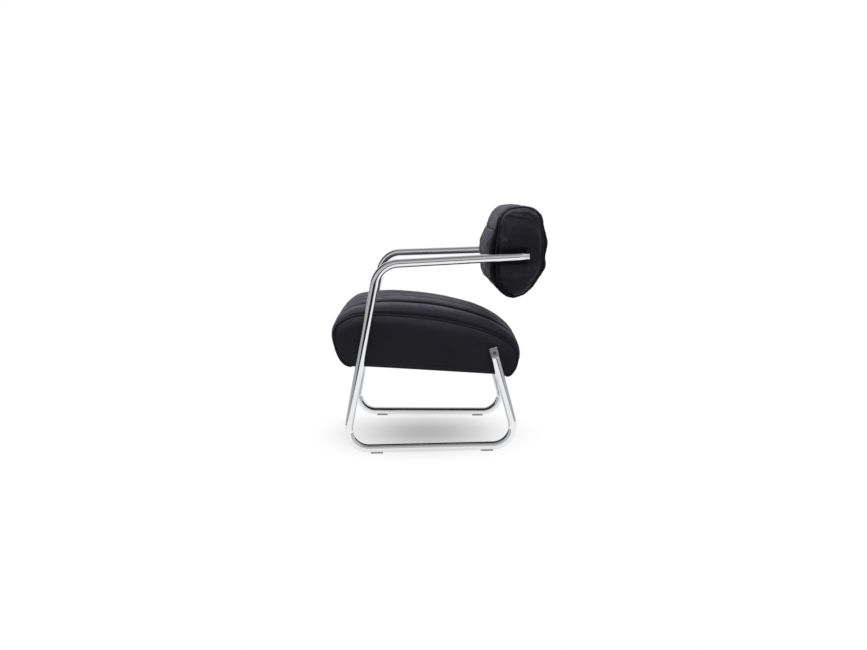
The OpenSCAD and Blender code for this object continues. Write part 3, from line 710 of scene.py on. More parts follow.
class Finishes:
    """All materials of the chair, built once."""

    def __init__(self) -> None:
        """Builds every material."""
        self.leather = LeatherFinish().material()
        self.chrome = MetalFinish("polished_chrome", (0.83, 0.835, 0.85), (0.035, 0.075), scratches=0.02).material()
        self.matt = MetalFinish("matt_steel", (0.36, 0.36, 0.37), (0.42, 0.55), metallic=0.3).material()
        self.bore = MetalFinish("dull_bore", (0.09, 0.09, 0.095), (0.45, 0.6)).material()
        self.steel = MetalFinish("zinc_steel", (0.42, 0.42, 0.44), (0.25, 0.4)).material()
        self.brass = MetalFinish("turned_brass", (0.72, 0.5, 0.22), (0.25, 0.4)).material()
        self.thread = ClothFinish("black_thread", (0.02, 0.02, 0.022), (0.03, 0.03, 0.034), 2600.0, 0.0001).material()
        self.cloth = ClothFinish("black_lining", (0.012, 0.012, 0.013), (0.02, 0.02, 0.021)).material()
        self.webbing = ClothFinish("jute_webbing", (0.36, 0.28, 0.16), (0.26, 0.19, 0.1), 420.0, 0.0006).material()
        self.wood = WoodFinish().material()
        self.plastic = PlasticFinish("matt_black_plastic", (0.018, 0.018, 0.019)).material()
        self.pale_plastic = PlasticFinish("milky_glide_plastic", (0.78, 0.78, 0.79)).material()


# ---------------------------------------------------------------- tube frames


@dataclass(frozen=True)
class TubeFrame:
    """One side frame bent from a single tube: upright, floor runner, front leg and arm."""

    diameter: float = 0.025
    wall: float = 0.002
    base_front_w: float = 0.575
    base_rear_w: float = 0.510
    runner_l: float = 0.516
    runner_ahead: float = 0.283
    leg_rise: float = 0.5435
    leg_lean: float = 0.104
    arm_run: float = 0.444
    arm_rise: float = 0.016
    arm_end_w: float = 0.404
    upright_rise: float = 0.2935
    upright_lean: float = 0.077
    floor_bend_r: float = 0.060
    arm_bend_r: float = 0.072
    glide_t: float = 0.002
    screw_drop: float = 0.015
    access_d: float = 0.0104
    tube_flat: float = 0.76
    flat_reach: float = 0.04
    flat_end: float = 0.0155
    flat_ease: float = 0.004
    flat_press: float = 0.85
    matt_reach: float = 0.022
    matt_end: float = 0.0125
    matt_back: float = 0.002
    plug_proud: float = 0.0006
    plug_h: float = 0.004
    plug_gap: float = 0.0001
    plug_rings: tuple[tuple[float, float], ...] = ((0.0011, 0.0), (0.0022, 0.0003), (0.0001, -0.0022))
    cap_lift: float = 0.0001
    cap_h: float = 0.0015
    sides: int = 72
    fine_step: float = 0.001
    fine_past_screw: float = 0.020
    straight_step: float = 0.03
    bend_steps: int = 28

    @property
    def taper(self) -> float:
        """How far the side plane runs in for each metre towards the rear."""
        return (self.base_front_w - self.base_rear_w) / (2 * self.runner_l)

    def plane_x(self, y: float) -> float:
        """Distance of the left side plane from the middle at a place along the chair."""
        return self.base_front_w / 2 - (y + self.runner_ahead) * self.taper

    def arm_x(self, y: float | np.ndarray) -> float | np.ndarray:
        """Distance of the left arm's centre line from the middle."""
        end = self.leg_lean - self.runner_ahead + self.arm_run
        start_x = self.plane_x(self.leg_lean - self.runner_ahead)
        return self.arm_end_w / 2 + (end - y) * (start_x - self.arm_end_w / 2) / self.arm_run

    def points(self, side: Side) -> list[Vector]:
        """Corner points and ends of the tube's centre line, from the upright's end to the arm's end."""
        z = self.diameter / 2 + self.glide_t
        front = Vector((self.base_front_w / 2, -self.runner_ahead, z))
        rear = Vector((self.base_rear_w / 2, self.runner_l - self.runner_ahead, z))
        arm_y = self.leg_lean - self.runner_ahead
        arm = Vector((self.plane_x(arm_y), arm_y, z + self.leg_rise))
        end = Vector((self.arm_end_w / 2, arm_y + self.arm_run, arm.z + self.arm_rise))
        top_y = rear.y - self.upright_lean
        top = Vector((self.plane_x(top_y), top_y, z + self.upright_rise))
        row = [top, rear, front, arm, end]
        for p in row:
            p.x *= side.value
        return row

    def bends(self) -> list[float]:
        """Bend radii at the corner points."""
        return [0.0, self.floor_bend_r, self.floor_bend_r, self.arm_bend_r, 0.0]

    def run(self, bm: bmesh.types.BMesh, edges: list, step: Vector, count: int) -> list:
        """Extrudes the last ring in equal steps and gives the new last ring."""
        for _ in range(count):
            new = bmesh.ops.extrude_edge_only(bm, edges=edges)["geom"]
            bmesh.ops.translate(bm, verts=verts_of(new), vec=step)
            edges = [g for g in new if isinstance(g, bmesh.types.BMEdge) and len(g.link_faces) == 1]
        return edges

    def bend(self, bm: bmesh.types.BMesh, edges: list, a: Vector, b: Vector, c: Vector, r: float) -> list:
        """Spins the last ring round a corner and gives the new last ring."""
        ahead, after = (b - a).normalized(), (c - b).normalized()
        turn = ahead.angle(after)
        start = b - ahead * r * math.tan(turn / 2)
        across = (after - ahead * after.dot(ahead)).normalized()
        geom = list({v for e in edges for v in e.verts}) + edges
        last = bmesh.ops.spin(
            bm,
            geom=geom,
            cent=start + across * r,
            axis=ahead.cross(across),
            angle=turn,
            steps=self.bend_steps,
            use_merge=False,
            use_duplicate=False,
        )["geom_last"]
        return [g for g in last if isinstance(g, bmesh.types.BMEdge)]

    def shell(self, side: Side) -> bmesh.types.BMesh:
        """The tube's outer skin, open at both ends, with closer rings round the pressed flat."""
        p, r = self.points(side), self.bends()
        bm = bmesh.new()
        ahead = (p[1] - p[0]).normalized()
        start = Matrix.Translation(p[0]) @ tube_turn(ahead)
        bmesh.ops.create_circle(bm, cap_ends=False, segments=self.sides, radius=self.diameter / 2, matrix=start)
        edges = list(bm.edges)
        for i in range(4):
            v = (p[i + 1] - p[i]).normalized()
            gone = self.setback(p, r, i) if i else 0.0
            left = self.setback(p, r, i + 1) if i < 3 else 0.0
            length = (p[i + 1] - p[i]).length - gone - left
            if i == 0:
                fine = self.screw_drop + self.fine_past_screw
                edges = self.run(bm, edges, v * self.fine_step, round(fine / self.fine_step))
                length -= fine
            count = max(2, round(length / self.straight_step))
            edges = self.run(bm, edges, v * (length / count), count)
            if i < 3:
                edges = self.bend(bm, edges, p[i], p[i + 1], p[i + 2], r[i + 1])
        return bm

    def setback(self, p: list[Vector], r: list[float], i: int) -> float:
        """Distance from a corner point to where its bend starts."""
        turn = (p[i] - p[i - 1]).angle(p[i + 1] - p[i])
        return r[i] * math.tan(turn / 2)

    def screw_place(self, side: Side) -> tuple[Vector, Vector, Vector]:
        """The visible screw's point on the centre line, the way out of the hole and the tube's direction."""
        p = self.points(side)
        ahead = (p[1] - p[0]).normalized()
        toe = math.atan(self.taper)
        out = Vector((math.cos(toe) * side.value, math.sin(toe), 0))
        return p[0] + ahead * self.screw_drop, out, ahead

    def press_flat(self, bm: bmesh.types.BMesh, side: Side) -> None:
        """Presses the outer face of the upright's end nearly flat round the screw."""
        centre, out, ahead = self.screw_place(side)
        limit = self.tube_flat * self.diameter / 2
        for v in bm.verts:
            rel = v.co - centre
            along, o = rel.dot(ahead), rel.dot(out)
            if rel.length < self.flat_reach and o > limit:
                ease = min(max((self.flat_end - along) / self.flat_ease, 0.0), 1.0)
                v.co -= out * (o - limit) * self.flat_press * ease
        for f in bm.faces:
            rel = f.calc_center_median() - centre
            outside = rel.dot(ahead) < self.matt_end and rel.dot(out) > -self.matt_back
            if rel.length < self.matt_reach and outside:
                f.material_index = 2

    def plug(self, side: Side) -> bmesh.types.BMesh:
        """Socket screw that closes the access hole, flush with the pressed flat."""
        centre, out, ahead = self.screw_place(side)
        bm = bmesh.new()
        face_at = self.tube_flat * self.diameter / 2 + self.plug_proud
        place = Matrix.Translation(centre + out * (face_at - self.plug_h)) @ tube_turn(out)
        bmesh.ops.create_circle(bm, cap_ends=True, segments=36, radius=self.access_d / 2 - self.plug_gap, matrix=place)
        top = bmesh.ops.extrude_face_region(bm, geom=bm.faces[:])["geom"]
        bmesh.ops.translate(bm, verts=verts_of(top), vec=out * self.plug_h)
        head = next(g for g in top if isinstance(g, bmesh.types.BMFace))
        for thickness, depth in self.plug_rings:
            bmesh.ops.inset_individual(bm, faces=[head], thickness=thickness, depth=depth)
        return bm

    def cap(self, bm: bmesh.types.BMesh, end: Vector, ahead: Vector) -> None:
        """Adds a round cap with a softened rim to a tube's end."""
        place = Matrix.Translation(end + ahead * self.cap_lift) @ tube_turn(ahead)
        ring = bmesh.ops.create_circle(bm, cap_ends=True, segments=48, radius=self.diameter / 2, matrix=place)["verts"]
        face = next(f for f in ring[0].link_faces)
        top = bmesh.ops.extrude_face_region(bm, geom=[face])["geom"]
        verts = verts_of(top)
        bmesh.ops.translate(bm, verts=verts, vec=ahead * self.cap_h)
        rim = [e for e in bm.edges if all(v in verts for v in e.verts)]
        bmesh.ops.bevel(bm, geom=rim, offset=self.cap_h * 0.75, segments=4, profile=0.5, affect="EDGES", material=-1)

    def build(self, side: Side, finishes: Finishes) -> list[bpy.types.Object]:
        """Makes one side's tube and its end caps.

        Args:
            side: which side.
            finishes: the chair's materials.

        Returns:
            The pieces.
        """
        bm = self.shell(side)
        self.press_flat(bm, side)
        bmesh.ops.recalc_face_normals(bm, faces=bm.faces)
        label = side.label
        skins = [f.material_index for f in bm.faces]
        tube = dress(mesh_piece(f"{label}_tube", bm), finishes.chrome)
        for material in (finishes.bore, finishes.matt, finishes.bore):
            tube.data.materials.append(material)
        tube.data.polygons.foreach_set("material_index", skins)
        wall = tube.modifiers.new("wall", "SOLIDIFY")
        wall.thickness, wall.offset, wall.material_offset = self.wall, -1, 1
        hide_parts(f"{label}_side_frame")
        p = self.points(side)
        caps = bmesh.new()
        for end, before in ((p[0], p[1]), (p[4], p[3])):
            self.cap(caps, end, (end - before).normalized())
        bmesh.ops.recalc_face_normals(caps, faces=caps.faces)
        lids = dress(mesh_piece(f"{label}_tube_caps", caps), finishes.chrome)
        lids.data.set_sharp_from_angle(angle=math.radians(40))
        if side is Side.LEFT:
            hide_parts("arm_end_caps", "upright_end_caps")
        plug = dress(mesh_piece(f"{label}_socket_screw", self.plug(side)), finishes.bore)
        plug.data.set_sharp_from_angle(angle=math.radians(35))
        return [tube, lids, plug]


# ---------------------------------------------------------------- seat


@dataclass
class Seat:
    """Channelled seat block in its own tilted frame: x across, a along the underside, h over it."""

    frame: TubeFrame
    front_y: float = -0.270
    front_z: float = 0.260
    tilt: float = math.radians(4.4)
    length: float = 0.556
    nose: float = 0.052
    seam_h: float = 0.157
    box_h: float = 0.0145
    crown: float = 0.0145
    outer_dip: float = 0.0050
    channel_h: float = 0.0145
    channels: int = 5
    panel_t: float = 0.008
    curl: float = 0.003
    crease: float = 0.004
    inset: float = 0.007
    soft_gap: float = 0.0003
    reach: float = 0.0228
    welt_r: float = 0.0028
    dip_at: float = 0.66
    dip_w: float = 0.16
    groove_cut: float = 0.0055
    groove_w: float = 0.0045
    full_share: float = 0.33
    least_depth: float = 0.16
    end_ease: float = 0.035
    # Unevenness of the padding: size of the lumps, seed and height.
    ripples: tuple[tuple[float, int, float], ...] = ((0.075, 1, 0.0011), (0.03, 4, 0.0004))
    gather_h: float = 0.0008
    gather_w: float = 0.012
    # Reach of the shade painted into the grooves, beside the side seams and on the panels beside them
    channel_shade_w: float = 0.0145
    seam_shade_w: float = 0.0008
    panel_shade_w: float = 0.0030
    panel_ease: float = 0.036
    foot_r: float = 0.010
    hem_h: float = 0.0115
    hem_end: float = 0.03
    hem_w: float = 0.0018
    hem_cut: float = 0.0017
    hem_ease: float = 0.03
    seam_flat: float = 0.002
    seam_round: float = 0.005
    panel_hub: float = 0.45
    panel_lump: float = 0.11
    panel_lump_h: float = 0.0010
    inset_from: float = 0.015
    inset_ease: float = 0.04
    curls_past: tuple[float, ...] = (0.0012, 0.0024, 0.0036, 0.0047, 0.0068)
    inner: float = 0.985
    turn_in: float = 0.030
    turn_in_h: float = 0.0038
    turn_in_r: float = 0.012
    welt_sunk: float = 0.0008
    welt_out: float = 0.0004
    groove_stitch_l: float = 0.0040
    hem_sunk: float = 0.0009
    lining_at: tuple[float, float] = (0.008, 0.448)
    lining_gap: float = 0.004
    lining_t: float = 0.0008
    lining_h: float = 0.0030
    sag: float = 0.004
    staple: tuple[float, float, float] = (0.0006, 0.010, 0.0006)
    staple_round: float = 0.0002
    staple_h: float = 0.0024
    # Side view of the cover, nose to tail: shares of the length, of the seam's height and of the crown.
    shares: tuple[tuple[float, float, float], ...] = (
        (0.110, -0.018, 0), (0.086, -0.004, 0), (0.0635, 0.045, 0.01), (0.041, 0.140, 0.03), (0.0165, 0.32, 0.06),
        (0.004, 0.54, 0.12), (0.016, 0.72, 0.15), (0.062, 0.87, 0.25), (0.142, 0.965, 0.46), (0.29, 1, 0.9),
        (0.45, 0.99, 1), (0.61, 0.945, 1), (0.775, 0.835, 0.9), (0.885, 0.715, 0.61), (0.957, 0.57, 0.32),
        (0.993, 0.38, 0.14), (0.99, 0.17, 0.03), (0.970, 0.03, 0), (0.954, -0.022, 0), (0.936, -0.03, 0),
    )

    def __post_init__(self) -> None:
        """Works out the outlines of the cover and of the end panels."""
        rows = [(s[0] * self.length - self.nose, s[1] * self.seam_h, s[2]) for s in self.shares]
        side = spline(rows, 16, closed=False)
        front = [(0.040, 0.0036, 0), (0.030, 0.0022, 0), (0.018, -0.0012, 0)]
        rear = [(0.4600, -0.0010, 0), (0.4520, 0.0026, 0), (0.4300, 0.0039, 0)]
        self.wrapped = Outline(np.vstack([front, side, rear]), closed=False)
        low = [
            side[-1], (0.4500, -0.0018, 0), (0.4250, -0.0004, 0), (0.2500, 0, 0), (0.0700, -0.0002, 0),
            (0.0300, -0.0014, 0), side[0],
        ]
        foot = spline(low, 12, closed=False)
        self.closed = Outline(np.vstack([side, foot[1:-1]]), closed=True)
        self.side = Outline(side, closed=False)
        self.foot = Outline(foot[::-1], closed=False)

    def half_w(self, a: np.ndarray | float) -> np.ndarray | float:
        """Half the seat's width at a."""
        taper = self.frame.taper
        front = self.frame.plane_x(self.front_y) - self.reach / math.cos(math.atan(taper))
        return front - a * taper * math.cos(self.tilt)

    def world(self, x: np.ndarray, a: np.ndarray, h: np.ndarray) -> np.ndarray:
        """Points of the seat's own frame in the chair's frame."""
        c, s = math.cos(self.tilt), math.sin(self.tilt)
        return np.stack([x, self.front_y + a * c + h * s, self.front_z - a * s + h * c], axis=-1)

    def lobe(self, s: np.ndarray, u: np.ndarray) -> np.ndarray:
        """Height of a channel from 0 in its grooves to 1 on its top, squarer towards the side seams."""
        power = np.where(np.abs(u) > 1 - 1 / self.channels, 4.0, 2.3)
        return (1 - np.clip(np.abs(s), 0, 1) ** power) ** 0.5

    def seam_inset(self, h: np.ndarray) -> np.ndarray:
        """How far the side seam lies in from the side at height h over the seat's bottom."""
        return self.inset * np.clip((h - self.inset_from) / self.inset_ease, 0, 1)

    def cover_point(self, u: np.ndarray, t: np.ndarray, e: np.ndarray | float = 0.0, calm: bool = False) -> np.ndarray:
        """Points of the top cover at shares u across and t along its outline.

        Args:
            u: from -1 at one side seam to 1 at the other.
            t: from 0 under the front edge to 1 under the tail.
            e: how far past the side seam, where the cover curls in.
            calm: leaves the small gathers out.

        Returns:
            Points in the chair's frame.
        """
        o = self.wrapped
        a, h, share = o.at(t, 0), o.at(t, 1), o.at(t, 2)
        n = o.out(t)
        k = (u + 1) / 2 * self.channels
        s = 2 * (k - np.floor(np.clip(k, 0, self.channels - 1e-9))) - 1
        width = 2 * self.half_w(a) / self.channels
        groove = (1 - np.abs(s)) * width / 2
        run = t * o.length
        wrap = np.clip(np.minimum(run, o.length - run) / self.end_ease, 0, 1)
        depth = np.clip(share / self.full_share, self.least_depth, 1) * wrap
        lift = share * self.crown * np.clip(1 - np.abs(u) ** 3, 0, 1)
        lift = lift + share * self.box_h * np.sqrt(np.clip(1 - np.abs(u) ** 40, 0, 1))
        dip = np.exp(-(((np.abs(u) - self.dip_at) / self.dip_w) ** 2))
        lift = lift - share * self.outer_dip * dip * (np.abs(u) > 1 - 2 / self.channels)
        lift = lift + depth * self.channel_h * self.lobe(s, u)
        inner = np.abs(u) < self.inner
        lift = lift - inner * depth * self.groove_cut * np.exp(-((groove / self.groove_w) ** 2))
        if not calm:
            flat = np.stack([u * 0.26, run, 0 * u], axis=-1)
            soft = ripples(flat, self.ripples)
            gather = lumps(np.stack([np.round(k) * 0.3, run, 0 * u], axis=-1), 0.0085, 7)
            pleats = depth * self.gather_h * gather * np.exp(-groove / self.gather_w) * inner
            lift = lift + depth * self.lobe(s, u) * soft + pleats
        turn = np.minimum(np.asarray(e) / self.curl, QUARTER) * np.clip(wrap * 2 - 1, 0, 1)
        inward = self.curl * (1 - np.cos(turn)) + np.clip(e - self.curl * math.pi / 2, 0, None) * (turn > 1.5)
        lift = lift - self.curl * np.sin(turn)
        x = u * (self.half_w(a) - self.seam_inset(h)) - np.sign(u) * inward
        return self.world(x, a + n[:, 0] * lift, h + n[:, 1] * lift)

    def cover(self) -> bpy.types.Object:
        """The fluted cover from under the nose, over the top and down to the tail."""
        steps = 22
        knots = np.concatenate(
            [k + (1 - np.cos(np.linspace(0, math.pi, steps, endpoint=False))) / 2 for k in range(self.channels)]
            + [[float(self.channels)]]
        )
        share, u_knots, e_knots = with_curls(knots / self.channels * 2 - 1, np.array(self.curls_past))

        def place(u: np.ndarray, t: np.ndarray) -> np.ndarray:
            """Bends the flat grid, its columns closer together in the grooves."""
            return self.cover_point(np.interp(u, share, u_knots), t, np.interp(u, share, e_knots))

        def painted_shade(u: np.ndarray, t: np.ndarray) -> np.ndarray:
            """Paints shade into the leather down in the grooves and beside the side seams."""
            k = (np.interp(u, share, u_knots) + 1) / 2 * self.channels
            apart = np.abs(k - np.round(k)) * 2 * self.half_w(self.wrapped.at(t, 0)) / self.channels
            seam = np.abs(np.interp(u, share, u_knots)) > 0.9
            near = np.exp(-((apart / np.where(seam, self.seam_shade_w, self.channel_shade_w)) ** 2)) * np.where(seam, 0.6, 1)
            return near * np.clip(self.wrapped.at(t, 2) / 0.25, 0.35, 1)

        return grid_piece("seat_cover", len(u_knots) - 1, 190, place, flip=True, painted_shade=painted_shade)

    def seam_gap(self, at: np.ndarray) -> np.ndarray:
        """Distance of points (a, h) from the side seam."""
        line = self.side.points[:, :2]
        return np.concatenate(
            [np.min(np.linalg.norm(part[:, None] - line[None], axis=2), axis=1) for part in np.array_split(at, 24)]
        )

    def panel_x(self, at: np.ndarray) -> np.ndarray:
        """How far a side panel stands out at points (a, h): puffed, in a crease at its seam and rounded at its foot."""
        d = self.seam_gap(at)
        low = np.clip(at[:, 1] - np.interp(at[:, 0], self.foot.points[:, 0], self.foot.points[:, 1]), 0, None)
        rise = edge_round(np.clip(d - self.seam_flat, 0, None), self.seam_round, 2.0)
        broad = 1 - np.clip(1 - d / self.panel_ease, 0, 1) ** 2
        inset = self.seam_inset(at[:, 1])
        x = (self.panel_t + inset) * broad * edge_round(low, self.foot_r, 2.0) - inset - self.crease * (1 - rise)
        hem = self.hem_cut * np.exp(-(((low - self.hem_h) / self.hem_w) ** 2)) * np.clip(d / self.hem_ease, 0, 1)
        return self.half_w(at[:, 0]) + self.soft_gap + x - hem

    def panel(self, side: Side) -> bpy.types.Object:
        """One upholstered side of the seat."""
        hub = np.array([self.length / 2 - self.nose, self.seam_h * self.panel_hub])

        def spot(t: np.ndarray, v: np.ndarray) -> np.ndarray:
            """Points (a, h) from the rim at v 0 to the middle at v 1."""
            rim = self.closed.place(t)
            return rim + (hub - rim) * (v**2.0)[:, None]

        def place(t: np.ndarray, v: np.ndarray) -> np.ndarray:
            """Bends the grid round the outline."""
            at = spot(t, v)
            points = self.world(self.panel_x(at), at[:, 0], at[:, 1])
            uneven = lumps(points, self.panel_lump, 3) * self.panel_lump_h
            points[:, 0] += uneven * np.clip(self.seam_gap(at) / self.hem_ease, 0, 1)
            points[:, 0] *= side.value
            return points

        def painted_shade(t: np.ndarray, v: np.ndarray) -> np.ndarray:
            """Paints shade into the leather beside the seam, in the crease."""
            return 0.7 * np.exp(-((self.seam_gap(spot(t, v)) / self.panel_shade_w) ** 2))

        return grid_piece(
            f"seat_{side.label}_side", 300, 56, place, weld=WELD, flip=side is Side.RIGHT, painted_shade=painted_shade
        )

    def under_strip(self, side: Side) -> bpy.types.Object:
        """Leather that turns in under the frame along one side."""

        def place(u: np.ndarray, v: np.ndarray) -> np.ndarray:
            """Bends the strip from the panel's foot inwards."""
            a, foot = self.foot.at(u, 0), self.foot.at(u, 1)
            x = self.panel_x(np.stack([a, foot], axis=-1)) - v * self.turn_in
            h = foot + (self.turn_in_h - foot) * edge_round(v * self.turn_in, self.turn_in_r)
            return self.world(x * side.value, a, h)

        return grid_piece(f"seat_{side.label}_turn_in", 90, 10, place, flip=side is Side.LEFT)

    def seam_line(self, side: Side, out: float, apart: float) -> np.ndarray:
        """Points along a side seam, moved out of the outline and away from the middle."""
        t = np.linspace(0, 1, 260)
        n = self.side.out(t)
        a, h = self.side.at(t, 0) + n[:, 0] * out, self.side.at(t, 1) + n[:, 1] * out
        half = self.half_w(self.side.at(t, 0)) - self.seam_inset(self.side.at(t, 1))
        return self.world((half + apart) * side.value, a, h)

    def welt(self, side: Side) -> bpy.types.Object:
        """Piping sewn into a side seam."""
        line = self.seam_line(side, -self.welt_sunk, self.welt_out)
        return rod_piece(f"seat_{side.label}_welt", line, self.welt_r, 10, closed=False)

    def groove_stitches(self) -> bpy.types.Object:
        """Stitches at the bottom of the grooves between the channels."""
        count = int(self.wrapped.length / STITCH_STEP)
        t = (np.arange(count) + 0.5) / count
        lines = [
            self.cover_point(np.full(count, 2 * i / self.channels - 1), t, calm=True) for i in range(1, self.channels)
        ]
        return stitch_piece("seat_groove_stitches", lines, self.groove_stitch_l)

    def hem_stitches(self, side: Side) -> bpy.types.Object:
        """Stitches along the hem over a side panel's bottom edge."""
        share = np.arange(self.hem_end, self.foot.length - self.hem_end, STITCH_STEP) / self.foot.length
        at = self.foot.place(share) + (0, self.hem_h)
        x = self.half_w(at[:, 0]) + self.soft_gap + self.panel_t - self.hem_sunk
        p = self.world(x * side.value, at[:, 0], at[:, 1])
        return stitch_piece(f"seat_{side.label}_hem_stitches", [p])

    def lining(self) -> bpy.types.Object:
        """Black cloth tacked under the seat, sagging a little."""
        a0, a1 = self.lining_at

        def place(u: np.ndarray, v: np.ndarray) -> np.ndarray:
            """Bends the flat cloth into its place."""
            a = a0 + (a1 - a0) * v
            across = 2 * u - 1
            sag = (1 - across**2) * (1 - (2 * v - 1) ** 2) * self.sag
            fold = lumps(np.stack([u * 0.5, v * 0.44, 0 * u], axis=-1), 0.06, 9) * 0.0004
            return self.world(across * (self.half_w(a) - self.lining_gap), a, self.lining_h - sag + fold)

        piece = grid_piece("seat_lining", 70, 60, place, flip=True)
        m = piece.modifiers.new("cloth", "SOLIDIFY")
        m.thickness, m.offset = self.lining_t, 0
        return piece

    def tacks(self) -> bpy.types.Object:
        """Staples that hold the lining's edges."""
        bm = bmesh.new()
        turn = Matrix.Rotation(-self.tilt, 4, "X")
        size = Matrix.Diagonal((*self.staple, 1))
        rows = [(s * (self.half_w(a) - 0.012), a, 0.0) for s in (-1, 1) for a in np.arange(0.030, 0.440, 0.041)]
        for a in (0.016, 0.440):
            rows += [(x, a, math.pi / 2) for x in np.linspace(-0.9, 0.9, 13) * (self.half_w(a) - 0.02)]
        for x, a, spin in rows:
            at = Vector(self.world(np.array(x), np.array(a), np.array(self.staple_h)))
            place = Matrix.Translation(at) @ turn @ Matrix.Rotation(spin, 4, "Z") @ size
            bmesh.ops.create_cube(bm, size=1, matrix=place)
        bmesh.ops.bevel(
            bm, geom=bm.edges[:], offset=self.staple_round, segments=2, profile=0.5, affect="EDGES", material=-1
        )
        return mesh_piece("seat_lining_staples", bm)

    def build(self, finishes: Finishes) -> list[bpy.types.Object]:
        """Makes the whole seat.

        Args:
            finishes: the chair's materials.

        Returns:
            The pieces.
        """
        cover = dress(self.cover(), finishes.leather)
        subdivide(cover, 1)
        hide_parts("seat_cushion", "seat_foam_core")
        made = [cover]
        for side in Side:
            panel = dress(self.panel(side), finishes.leather)
            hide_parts(f"seat_{side.label}_panel")
            strip = dress(self.under_strip(side), finishes.leather)
            welt = dress(self.welt(side), finishes.leather)
            hem = dress(self.hem_stitches(side), finishes.thread)
            made += [panel, strip, welt, hem]
        made.append(dress(self.groove_stitches(), finishes.thread))
        lining = dress(self.lining(), finishes.cloth)
        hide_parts("seat_bottom_cloth")
        a0, a1 = self.lining_at
        flat = (2 * self.half_w((a0 + a1) / 2) - 2 * self.lining_gap, a1 - a0)
        made += [lining, dress(self.tacks(), finishes.steel)]
        return made


# ---------------------------------------------------------------- backrest


